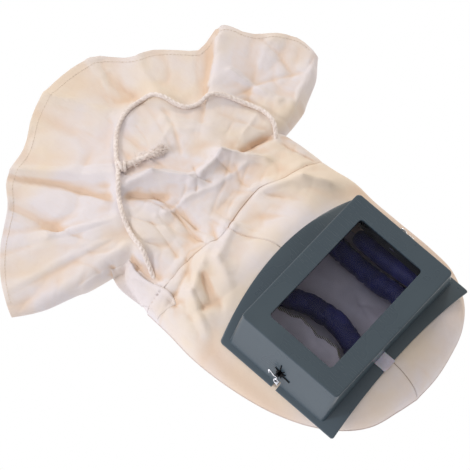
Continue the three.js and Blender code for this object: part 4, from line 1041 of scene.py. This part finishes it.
def face_hole(points):
    """Distance out of the face hole's rounded outline, and the way out, for plan points."""
    local = frame_local(points)
    half = np.array([plate_length / 2 - cloth_lap,
                     plate_width / 2 + flange_tip_depth * wall_flare - cloth_lap - frame_wall])
    q = np.abs(local[:, :2]) - (half - plate_corner)
    outside = np.maximum(q, 0)
    length = np.linalg.norm(outside, axis=1)
    distance = length + np.minimum(q.max(axis=1), 0) - plate_corner
    way = np.where(length[:, None] > 1e-6, outside / np.maximum(length, 1e-6)[:, None],
                   np.eye(2)[np.argmax(q, axis=1)])
    return distance, way * np.sign(local[:, :2])


def cut_hole(points, faces, fold, hole):
    distance, way = hole(points)
    kept = ~(distance[faces] < 0).all(axis=1)
    faces = faces[kept]
    used = np.unique(faces)
    points = points.copy()
    inner = used[distance[used] < 0]
    points[inner, :2] -= (way * distance[:, None])[inner]
    renumber = np.full(len(points), -1)
    renumber[used] = np.arange(len(used))
    return points[used], renumber[faces], fold[used]


# The cloth pieces
def add_head_side(side):
    surface = head_surface(side, np.linspace(0, 1, 190), np.linspace(0, 1, 84))
    made, area = shown_cloth(f"cloth_head_{side}", surface, canvas, f"head_{side}", hole=face_hole)


add_head_side("left")
add_head_side("right")

cape_ks = np.linspace(0, 1, 236)
cape_shares = np.linspace(0, 1, 150)
cape_points = cape_surface(cape_shares, cape_ks)
cape_cloth, cape_area = shown_cloth("cloth_cape_front", cape_points, canvas, "cape_front")


def flat_cloth(name, outline, node):
    """Cloth that lies on the surface inside an outline, with a faint sag between its threads."""
    middle = outline.mean(axis=0)
    shares = np.linspace(0.02, 1, 60)
    rings = middle + (outline[None, :, :] - middle) * shares[:, None, None]
    flat = rings.reshape(-1, 2)
    lift = 0.35 * value_noise(flat[:, 0] / 22, flat[:, 1] / 22, 9)
    points = np.column_stack([flat, cloth_thickness - shown_thickness / 2 - 0.35 + lift])
    points = np.vstack([points, [[*middle, cloth_thickness - shown_thickness / 2 - 0.35]]])
    count = outline.shape[0]
    faces = [tuple(f) for f in grid_faces(len(shares), count, wrap=True)]
    faces += [((j + 1) % count, j, len(points) - 1) for j in range(count)]
    made = add_mesh(name, points, faces, canvas_back)
    thicken(made, shown_thickness)
    settle(made, node, slot="canvas")


def foot_line(surface_row, outwards):
    """The outer side of a cloth's foot, in plan."""
    plan = surface_row[:, :2]
    return plan - outwards * left_of(plan) * cloth_thickness / 2


head_us = np.linspace(0, 1, 120)
left_foot = foot_line(head_surface("left", head_us, np.array([0.0, 0.1]))[:, 0], 1)
right_foot = foot_line(head_surface("right", head_us, np.array([0.0, 0.1]))[:, 0], -1)
flat_cloth("cloth_head_back", np.vstack([left_foot, right_foot[::-1]]), "head_back")
side_feet = cape_surface(np.linspace(0, 1, 120), np.array([0.0, 1.0]))
hem_angles = np.linspace(90, -90, 180)[1:-1]
flat_cloth("cloth_cape_back", np.vstack([
    foot_line(side_feet[:, 0], 1)[::-1], foot_line(side_feet[:, 1], -1), section_points(1.0, hem_angles),
]), "cape_back")


# Edge of the cape's tuck, which laps over the neck beside the cord
def add_tuck():
    """A fold of the cape's cloth: it leaves the cape's surface and ends in a rounded edge."""
    edge = even_line(tuck_edge, 1.5)
    shares = np.linspace(0, 1, 16)
    tops = [BVHTree.FromObject(bpy.data.objects[name], bpy.context.evaluated_depsgraph_get())
            for name in ("cloth_cape_front", "cloth_head_left")]
    grid = edge[:, None, :2] + shares[None, :, None] * np.array(tuck_way)
    ends = np.minimum(1, 8 * np.linspace(0, 1, len(edge)) * (1 - np.linspace(0, 1, len(edge))))
    points = []
    for row, full in zip(grid, ends):
        points.append([])
        for (x, y), share in zip(row, shares):
            start = to_row(np.array([x, y, 150.0]))
            hits = [tree.ray_cast(start, (0, 0, -1))[0] for tree in tops]
            level = max((hit[2] * 1000 for hit in hits if hit), default=cloth_foot)
            lift = tuck_lift * full * (1 - share) ** 2
            points[-1].append((x, y, level + lift - 0.4 * share - 0.3))
    add_thin_sheet("cloth_tuck", np.array(points), canvas, shown_thickness)


tuck_edge = [(-224, -100), (-208, -106), (-190, -107), (-172, -106), (-155, -106), (-147, -109)]
tuck_way = (-10.0, -20.0)
tuck_lift = 3.2
add_tuck()


# Seam strips that close the joins from inside, and the hem's stitches
def add_strip(name, line, drop, finish):
    plan = even_line(line, 2.0)
    offsets = np.linspace(-seam_half_width, seam_half_width, 7)
    grid = plan[:, None, :] + left_of(plan)[:, None, :] * offsets[None, :, None]
    height = fine_height(grid[..., 0], grid[..., 1]) - drop
    add_thin_sheet(name, np.concatenate([grid, height[..., None]], axis=-1), finish, seam_thickness)


seam_half_width = 1.0
seam_thickness = 0.5
seam_depth = 0.9 - cloth_thickness / 2
seam_left_end, tuck_end, seam_right_end, seam_chin_end = -114.0, -63.0, 111.0, -100.0
chin_seam = centre_seam[centre_seam[:, 0] < seam_chin_end]
add_strip("seam_centre", chin_seam[2:] + np.array([seam_gap / 2, 0.0]), seam_depth - 0.5, canvas_back)
# The neck seam's strip takes canvas colour where the tuck covers it, and painted seam shade where the seam's
# gap shows
for name, low, high, drop, finish in (
        ("seam_neck_tucked", seam_left_end, tuck_end, 0.5 - cloth_thickness / 2, canvas),
        ("seam_neck", tuck_end, seam_right_end, seam_depth, painted_seam_shade)):
    stretch = neck_seam[(neck_seam[:, 1] >= low) & (neck_seam[:, 1] < high)]
    add_strip(name, stretch, drop, finish)


def add_crown_seam():
    """The same strip over the crown's rolled edge, where the two head panels meet."""
    meeting = head_surface("left", np.array([1.0]), np.linspace(0.02, 0.6, 40))[0]
    grid = meeting[:, None, :] + np.linspace(0, 2, 5)[None, :, None] * np.array([0, 1.0, 0])
    grid = grid - np.array([0.3, 1.0 - seam_gap / 2, 0.3])
    add_thin_sheet("seam_crown", grid, painted_seam_shade, seam_thickness)


add_crown_seam()


def add_stitches(name, line, finish):
    """Short threads along a line on top of the cloth."""
    lengths = length_along(line)
    shares = np.linspace(0, 1, 4)
    threads = []
    for start in np.arange(stitch_pitch, lengths[-1] - stitch_pitch, stitch_pitch):
        thread = at_length(line, lengths, start + stitch_length * shares)
        thread[:, 2] += stitch_lift * np.sin(math.pi * shares) + 0.1
        threads.append(thread)
    add_threads(name, threads, stitch_radius, 5, finish, "canvas")


stitch_pitch = 4.2
stitch_length = 2.9
stitch_radius = 0.3
stitch_lift = 0.25
hem_row = 144
hem_line = cape_points[hem_row, 26:-26] + np.array([0, 0, cloth_thickness / 2])
add_stitches("hem_stitches", hem_line, cream_thread)


# Frayed tail and the knot at its foot
def add_fray():
    """Loose fibres along the tail, thickest at its end."""
    fibres = []
    count = len(tail_line) - 1
    for number in range(fray_fibres):
        share = 1 - rng.uniform(0, 1) ** 2 * 0.85
        place = int(share * count)
        start = tail_line[place] + rng.normal(0, fray_spread, 3) * (1, 1, 0.6)
        ahead = tail_line[place] - tail_line[max(place - 6, 0)]
        ahead = ahead / max(np.linalg.norm(ahead), 1e-6)
        lean = rng.normal(0, 0.8, 3)
        lean[2] = abs(lean[2]) * 0.7 - 0.1
        way = unit(ahead + lean)
        reach = rng.uniform(*fray_reach) * mix(0.8, 1.3, share)
        curl = rng.normal(0, 0.4, 3) * (1, 1, 0.4)
        shares = np.linspace(0, 1, 6)[:, None]
        fibres.append(start + way * reach * shares + curl * reach * shares ** 2)
    add_threads("rope_fray", fibres, fray_radius, 5, cotton_rope, "cotton_rope")


fray_fibres = 420
fray_radius = 0.32
fray_spread = 1.6
fray_reach = (2.5, 5.5)
add_fray()


def add_knot():
    """A lumpy overhand knot that takes in the cord and the foot of the tail."""
    on_cord = rope_line[np.argmin(np.linalg.norm(rope_line - tail_line[0], axis=1))]
    middle = mix(on_cord, tail_line[0], 0.55) + np.array([0, 0, 1.0])
    ahead = tail_line[0] - on_cord
    ahead[2] = 0
    ahead = unit(ahead)
    side = np.array([-ahead[1], ahead[0], 0.0])
    up = np.array([0, 0, 1.0])
    turns = np.linspace(0, knot_turns * 2 * math.pi, 120)[:, None]
    reach = knot_reach + 0.8 * np.sin(1.7 * turns)
    along = turns / turns[-1] * knot_length - knot_length / 2 + 1.6 * np.sin(2 * turns / 3)
    line = (middle + ahead * along + reach * (np.cos(turns) * side + 0.8 * np.sin(turns) * up))
    made = add_tubes("rope_knot", [line], rope_radius(knot_strand_radius), 14, cotton_rope)
    return settle(made, slot="cotton_rope")


knot_turns = 3
knot_reach = 4.6
knot_length = 9.0
knot_strand_radius = 2.1
add_knot()


# Padded rolls of satin: length, radius and offset, then along, across, lift and fullness of each row
roll_tables = {
    "roll_left": (168.0, 14.0, 0.0, [
        (-0.56, -0.42, 0, 0.35), (-0.53, -0.4, 0, 0.75), (-0.46, -0.35, 0, 0.98), (-0.37, -0.25, 0, 1),
        (-0.27, -0.16, 0, 1), (-0.17, -0.12, 0, 1), (-0.07, -0.1, 0, 1), (0.03, -0.13, 0, 1),
        (0.14, -0.23, 0, 1), (0.24, -0.37, 0, 1), (0.33, -0.52, 0, 0.95), (0.38, -0.6, 0, 0.75),
        (0.41, -0.64, 0, 0.35)]),
    "roll_right_low": (168.0, 13.0, 0.0, [
        (-0.55, 0.97, 0, 0.35), (-0.53, 0.95, 0, 0.75), (-0.46, 0.92, 0, 0.98), (-0.3, 0.88, 0, 1),
        (-0.15, 0.86, 0, 1), (0.0, 0.86, 0, 1), (0.15, 0.89, 0, 1), (0.3, 0.93, 0, 0.98),
        (0.37, 0.95, 0, 0.75), (0.39, 0.96, 0, 0.35)]),
    "roll_right_high": (100.0, 12.0, -6.0, [
        (-0.5, 1.16, 1.44, 0.35), (-0.475, 1.16, 1.44, 0.75), (-0.38, 1.16, 1.46, 1), (-0.2, 1.15, 1.46, 1),
        (0.0, 1.14, 1.46, 1), (0.2, 1.15, 1.46, 1), (0.38, 1.16, 1.44, 1), (0.475, 1.16, 1.44, 0.75),
        (0.5, 1.16, 1.44, 0.35)]),
}
head_space_width = 70.0
plump_frames = 20
plump_pressure = 4.0
plump_cap = 0.0008
liner_top = cloth_thickness + 2 * piece_gap + liner_thickness


def vertex_values(mesh, kind):
    values = np.empty(len(mesh.vertices) * 3)
    mesh.vertices.foreach_get(kind, values)
    return values.reshape(-1, 3)


def plump(made, cap):
    """Swells the pad under pressure as stuffing does, with no point moving further than cap."""
    mesh = made.data
    start = vertex_values(mesh, "co")
    cloth = made.modifiers.new("cloth", "CLOTH")
    cloth.settings.use_pressure = True
    cloth.settings.uniform_pressure_force = plump_pressure
    cloth.settings.effector_weights.gravity = 0.0
    cloth.settings.quality = 5
    cloth.point_cache.frame_end = plump_frames
    for number in range(1, plump_frames + 1):
        bpy.context.scene.frame_set(number)
    seen = made.evaluated_get(bpy.context.evaluated_depsgraph_get())
    moved = vertex_values(seen.data, "co") - start
    made.modifiers.remove(cloth)
    bpy.context.scene.frame_set(1)
    far = np.linalg.norm(moved, axis=1)
    moved *= np.minimum(1, cap / np.maximum(far, 1e-9))[:, None]
    mesh.vertices.foreach_set("co", (start + moved).ravel())
    mesh.update()


def crumple(made, depth, pitch, seed):
    """Puckers across the roll: pinched lines between soft bulges."""
    mesh = made.data
    co, normal = vertex_values(mesh, "co"), vertex_values(mesh, "normal")
    x, y, z = (co * 1000).T
    bulge = np.abs(value_noise(x / pitch + seed, (y + z) / (2.2 * pitch), seed)) ** 0.6
    small = np.abs(value_noise(x / (0.45 * pitch), (y - z) / pitch + seed, seed + 1)) ** 0.7
    co += normal * ((bulge - 1.0) * depth + (small - 0.6) * 0.35 * depth)[:, None] / 1000
    mesh.vertices.foreach_set("co", co.ravel())
    mesh.update()


def add_roll(name, depth, pitch, seed):
    length, radius, offset, rows = roll_tables[name]
    foot = liner_top + piece_gap
    centres = np.array([(along * length + offset, across * head_space_width, foot + radius * (1 + lift))
                        for along, across, lift, _ in rows])
    full = np.array([row[3] for row in rows])
    line, lengths = smooth_line(centres, 8)
    widths = np.interp(np.arange(len(line)) / 8, np.arange(len(rows)), full)
    radius_at = lambda at, angles: 0.97 * radius * np.interp(at, lengths, widths)
    made = add_tubes(name + "_pad", [line], radius_at, 32, navy_satin)
    remesh = made.modifiers.new("remesh", "REMESH")
    remesh.mode = "VOXEL"
    remesh.voxel_size = 0.004
    apply_all(made)
    plump(made, plump_cap)
    finer = made.modifiers.new("finer", "SUBSURF")
    finer.levels = 2
    apply_all(made)
    crumple(made, depth, pitch, seed)
    made.data.shade_smooth()
    if not made.data.materials:
        made.data.materials.append(navy_satin)
    settle(made, name, slot="navy_satin")


add_roll("roll_left", 1.8, 13.0, 11)
add_roll("roll_right_low", 1.6, 9.0, 21)
add_roll("roll_right_high", 0.7, 26.0, 31)


# Lining of the back and the flap with its overlocked edge
lining_creases = [
    ([(-38, 69), (-22, 67), (-2, 67)], 1.2), ([(22, 20), (-4, 32), (-16, 40)], 1.4),
    ([(-4, 32), (18, 44), (30, 40)], 1.3), ([(-4, 32), (-2, 14), (8, 2)], 1.2),
]


lining_chin, lining_crown = -100.0, 74.0
lining_half_chin, lining_half_crown = 94.0, 62.0
lining_wave, lining_wave_place, lining_wave_width = 7.0, 26.0, 14.0


def liner_surface():
    u, k = np.meshgrid(np.linspace(0, 1, 90), np.linspace(0, 1, 96), indexing="ij")
    x = mix(lining_chin, lining_crown, u)
    half = mix(lining_half_chin, lining_half_crown, np.maximum(x / lining_crown, 0) ** 2)
    y = mix(-half, half, k)
    along = 0.6 + 0.4 * np.sin(x / 100.0 * math.pi * 1.5)
    wave = lining_wave * np.exp(-((y - lining_wave_place) / lining_wave_width) ** 2) * along
    free = np.exp(-((y - 24.0) / 17.0) ** 2)
    for line, depth in lining_creases:
        gap, _ = distance_to_line(x, y, line)
        wave -= free * depth * np.exp(-(gap / 3.0) ** 2)
    wave += free * (1.0 + value_noise(x / 24, y / 18, 41) * 1.2 + value_noise(x / 10, y / 9, 42) * 0.5)
    return np.stack([x, y, cloth_thickness + piece_gap + liner_thickness / 2 + wave], axis=-1)


flap_length, flap_centre = 112.0, -11.0
flap_foot, flap_edge, flap_bow, flap_hump = -90.0, -31.0, 15.0, 19.0


def flap_surface(k):
    u = np.linspace(0, 1, 150)[:, None]
    along = mix(-flap_length / 2, flap_length / 2, u)
    bow = flap_bow * (along / flap_length) ** 2
    ripple = 2.0 * np.sin(u * 5 * math.pi) + 0.9 * np.sin(u * 13 * math.pi)
    tuck = 8.0 * smooth_step(0, flap_length / 2, along + flap_centre)
    y = mix(flap_foot, flap_edge - bow - ripple - tuck, k[None, :])
    hump = np.sin(np.minimum(k * 1.15, 1) * math.pi / 2)[None, :] ** 2
    x = np.broadcast_to(along + flap_centre, y.shape)
    soft = hump * (value_noise(x / 20, y / 14, 51) * 1.4 + value_noise(x / 8, y / 8, 52) * 0.5)
    return np.stack([x, y, liner_top + piece_gap + liner_thickness / 2 + flap_hump * hump + soft], axis=-1)


def add_lining(name, surface, node):
    points = surface.reshape(-1, 3)
    faces = grid_faces(*surface.shape[:2])
    made = add_mesh(name, points, faces, grey_lining)
    thicken(made, 1.0)
    settle(made, node, slot="grey_lining")
    sheet_area(points, faces)


add_lining("lining_back", liner_surface(), "liner_back")
flap = flap_surface(np.linspace(0, 1, 60))
add_lining("lining_flap", flap, "liner_flap")


def add_overlock():
    """Thread that loops over the flap's edge, stitch by stitch."""
    edge = flap[:, -1]
    lengths = length_along(edge)
    turns = np.arange(0, lengths[-1], 0.35)
    middle = at_length(edge, lengths, turns)
    angle = turns / overlock_pitch * 2 * math.pi
    line = middle + np.column_stack([0 * angle, 1.5 * np.cos(angle) - 0.9, 1.15 * np.sin(angle) + 0.1])
    add_threads("overlock_thread", [line], overlock_radius, 6, olive_thread, "grey_lining")


overlock_pitch = 1.9
overlock_radius = 0.55
add_overlock()


# Moulded frame, with the rounded edges that its solid leaves out
def ring_template():
    """Place on a rectangle's sides, from -1 to 1, and the corner's direction, all the way round."""
    rows = []
    for side_u, side_w, start, count, moves in ((1, 1, 0, 40, "u"), (-1, 1, 90, 56, "w"),
                                                (-1, -1, 180, 40, "u"), (1, -1, 270, 56, "w")):
        for turn in np.linspace(0, 90, 7):
            rows.append((side_u, side_w, start + turn))
        for share in np.linspace(0, 1, count + 1)[1:-1]:
            if moves == "u":
                rows.append((side_u * (1 - 2 * share), side_w, start + 90))
            else:
                rows.append((side_u, side_w * (1 - 2 * share), start + 90))
    return np.array(rows, float)


template = ring_template()
corner_way = np.column_stack([np.cos(np.radians(template[:, 2])), np.sin(np.radians(template[:, 2]))])


def rectangle_ring(half_u, half_w, corner, n, centre=0.0):
    u = centre + template[:, 0] * (half_u - corner) + corner * corner_way[:, 0]
    w = template[:, 1] * (half_w - corner) + corner * corner_way[:, 1]
    return np.column_stack([u, w, np.broadcast_to(n, u.shape)])


def wall_ring(inset, height):
    """Ring on a side wall: height(w) is its level under the plate."""
    n = np.full(len(template), -plate_thickness)
    for _ in range(6):
        ring = wall_at(inset, n)
        n = height(ring[:, 1])
    return wall_at(inset, n)


def wall_at(inset, n):
    half_w = plate_width / 2 - n * wall_flare - inset
    return rectangle_ring(plate_length / 2 - inset, half_w, plate_corner - inset / 2, n)


def flange_ring(inset, drop):
    half_w = flange_half_width - inset
    w = template[:, 1] * (half_w - flange_corner) + flange_corner * corner_way[:, 1]
    u = template[:, 0] * (plate_length / 2 - flange_corner) + flange_corner * corner_way[:, 0]
    share = u / plate_length + 0.5
    u = mix(flange_chin_edge(w) + inset, flange_crown_edge(w) - inset, share)
    return np.column_stack([u, w, flange_arc(flange_radius, w) - drop])


def frame_rings():
    top = lambda w: flange_arc(flange_radius, w)
    under = lambda w: flange_arc(flange_radius - flange_thickness, w)
    opening = lambda grow, n: rectangle_ring(opening_length / 2 + grow, opening_width / 2 + grow,
                                             opening_corner + grow, n, opening_offset)
    rings = [opening(0, -plate_thickness), opening(0, -0.9), opening(0.25, -0.3), opening(0.8, 0.0)]
    flat_inset = frame_edge + frame_flat_margin
    rings.append(rectangle_ring(plate_length / 2 - flat_inset, plate_width / 2 - flat_inset, plate_corner, 0.0))
    for turn in np.radians([0, 22, 45, 68, 90]):
        inset, n = frame_edge * (1 - math.sin(turn)), -frame_edge * (1 - math.cos(turn))
        rings.append(wall_at(0, np.full(len(template), -frame_edge)) * [1, 1, 0] + [0, 0, n]
                     - np.column_stack([corner_way, np.zeros(len(template))]) * inset)
    foot = wall_ring(0, top)
    head = wall_at(0, np.full(len(template), -frame_edge))
    rings += [mix(head, foot, share) for share in (0.15, 0.4, 0.7, 0.93)]
    rim = flange_ring(0.9, 0.0)
    rings += [mix(foot, rim, share) for share in (0.03, 0.2, 0.4, 0.6, 0.8)]
    for i in (-5, -4, -3, -2, -1):
        rings[i][:, 2] = top(rings[i][:, 1])
    rings += [rim, flange_ring(0.25, 0.3), flange_ring(0.0, 1.0), flange_ring(0.0, 2.0),
              flange_ring(0.25, 2.7), flange_ring(0.9, flange_thickness)]
    inner = wall_ring(frame_wall, under)
    below = rings[-1]
    for share in (0.2, 0.5, 0.8):
        rings.append(mix(below, inner, share))
        rings[-1][:, 2] = under(rings[-1][:, 1])
    ceiling = wall_at(frame_wall, np.full(len(template), -plate_thickness))
    rings += [mix(inner, ceiling, share) for share in (0.0, 0.3, 0.6, 1.0)]
    return np.array(rings)


def cut_box(made, centre, size):
    """Takes a box out of a solid; centre and size are along the frame's own axes."""
    signs = np.array([(i, j, k) for i in (-1, 1) for j in (-1, 1) for k in (-1, 1)])
    corners = from_frame_local(np.array(centre) + signs * np.array(size) / 2)
    box = add_mesh("cutter", corners, [(0, 1, 3, 2), (4, 6, 7, 5), (0, 4, 5, 1), (2, 3, 7, 6), (0, 2, 6, 4),
                                       (1, 5, 7, 3)], moulded_plastic, smooth=False)
    cut = made.modifiers.new("cut", "BOOLEAN")
    cut.operation = "DIFFERENCE"
    cut.object = box
    apply_all(made)
    bpy.data.objects.remove(box)


def add_frame():
    rings = frame_rings()
    count, sides = rings.shape[:2]
    faces = (grid_faces(count + 1, sides, wrap=True) % (count * sides))[:, [0, 3, 2, 1]]
    made = add_mesh("frame_shell", from_frame_local(rings).reshape(-1, 3), faces, moulded_plastic)
    foot = wall_ring(0, lambda w: flange_arc(flange_radius, w))
    for side in (-1, 1):
        cut_box(made, (notch_width / 2, side * np.abs(foot[:, 1]).max(), foot[:, 2].min()),
                (notch_width, 2 * flange_side_reach, 2 * notch_height))
    made.data.set_sharp_from_angle(angle=math.radians(38))
    weighted = made.modifiers.new("flat_faces", "WEIGHTED_NORMAL")
    weighted.keep_sharp = True
    return settle(made, "window_frame", slot="frame_plastic")


add_frame()


# Wire clips on the side walls, in shares of the washer's radius
clip_path = [(-2.0, -0.6, 1.4), (-2.4, 0.1, 1.3), (-1.5, 0.2, 1.4), (-0.72, -0.6, 1.15),
             (-0.02, -0.76, 0.95), (0.85, -1.5, 1.25), (0.5, -2.3, 1.3), (1.1, -3.0, 1.1)]


def add_wire(side, name):
    lean = side * (math.pi / 2 - math.atan(wall_flare))
    points = []
    turns = np.radians(np.arange(0, 361, 45))
    loop = [(0.45 + 0.62 * math.cos(t), -1.55 + 0.62 * math.sin(t), 1.25 + 0.04 * t) for t in turns]
    for u, v, out in clip_path[:5] + loop + clip_path[6:]:
        v = (v if side < 0 else -v) * washer_radius
        out = out * washer_radius
        w = v * math.cos(lean) + out * math.sin(lean)
        n = -v * math.sin(lean) + out * math.cos(lean)
        points.append((u * washer_radius, side * (plate_width / 2 + washer_depth * wall_flare) + w,
                       n - washer_depth))
    line = from_frame_local(even_line(points, 0.5))
    made = add_tubes(f"wire_clip_{name}", [line], lambda at, angles: wire_radius, 14, chrome_wire)
    settle(made, f"spring_clip_{name}", slot="chrome_wire")


add_wire(-1, "left")
add_wire(1, "right")


# Light: a bright studio round a white sweep
def add_light(name, place, aim, size, power, colour):
    data = bpy.data.lights.new(name, "AREA")
    data.shape = "DISK"
    data.size = size
    data.energy = power
    data.color = colour
    light = bpy.data.objects.new(name, data)
    light.location = place
    light.rotation_euler = (Vector(aim) - Vector(place)).to_track_quat("-Z", "Y").to_euler()
    bpy.context.collection.objects.link(light)


# The room: brighter towards the camera's left, and a white table below
bright_side = (-0.75, -0.4, 0.35)
near_colour = (0.97, 0.96, 1.0)
far_colour = (1.0, 0.94, 0.87)
room_dark, room_bright = 0.28, 0.9
table_level = 1.2
# Name, place, power and colour
lamps = [("key", (-1.1, -1.5, 1.4), 16, (1.0, 0.985, 1.0)), ("fill", (-0.7, 1.7, 1.0), 11, far_colour)]
lamp_aim = (0.0, 0.0, 0.05)
lamp_size = 0.6


def light_scene():
    world = bpy.data.worlds.new("studio")
    bpy.context.scene.world = world
    world.use_nodes = True
    world.node_tree.nodes.clear()
    room = Nodes(world.node_tree)
    way = room.node("ShaderNodeTexCoord").outputs["Generated"]
    parts = room.node("ShaderNodeSeparateXYZ", Vector=way).outputs
    turned = room.node("ShaderNodeVectorMath", {"operation": "DOT_PRODUCT"})
    room.fill(turned, {0: way, 1: Vector(bright_side).normalized()})
    side = room.spread(turned.outputs["Value"], -1.0, 1.0, room_dark, room_bright)
    below = room.spread(parts[2], -0.06, -0.02, table_level, 0.0)
    tint = room.blend(room.spread(parts[1], -0.6, 0.6), (*near_colour, 1), (*far_colour, 1))
    soft = room.node("ShaderNodeBackground", Color=tint, Strength=room.sum("MAXIMUM", side, below))
    white = room.node("ShaderNodeBackground", Color=(1, 1, 1, 1))
    seen = room.node("ShaderNodeLightPath").outputs["Is Camera Ray"]
    both = room.node("ShaderNodeMixShader")
    room.fill(both, {0: seen, 1: soft.outputs[0], 2: white.outputs[0]})
    room.node("ShaderNodeOutputWorld", Surface=both.outputs[0])
    for name, place, power, colour in lamps:
        add_light(name, place, lamp_aim, lamp_size, power, colour)


light_scene()
scene = bpy.context.scene
scene.view_settings.view_transform = "Standard"
scene.render.resolution_x = 470
scene.render.resolution_y = 470

{"at_load": size_at_load, "at_finish": corners_of(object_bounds())}
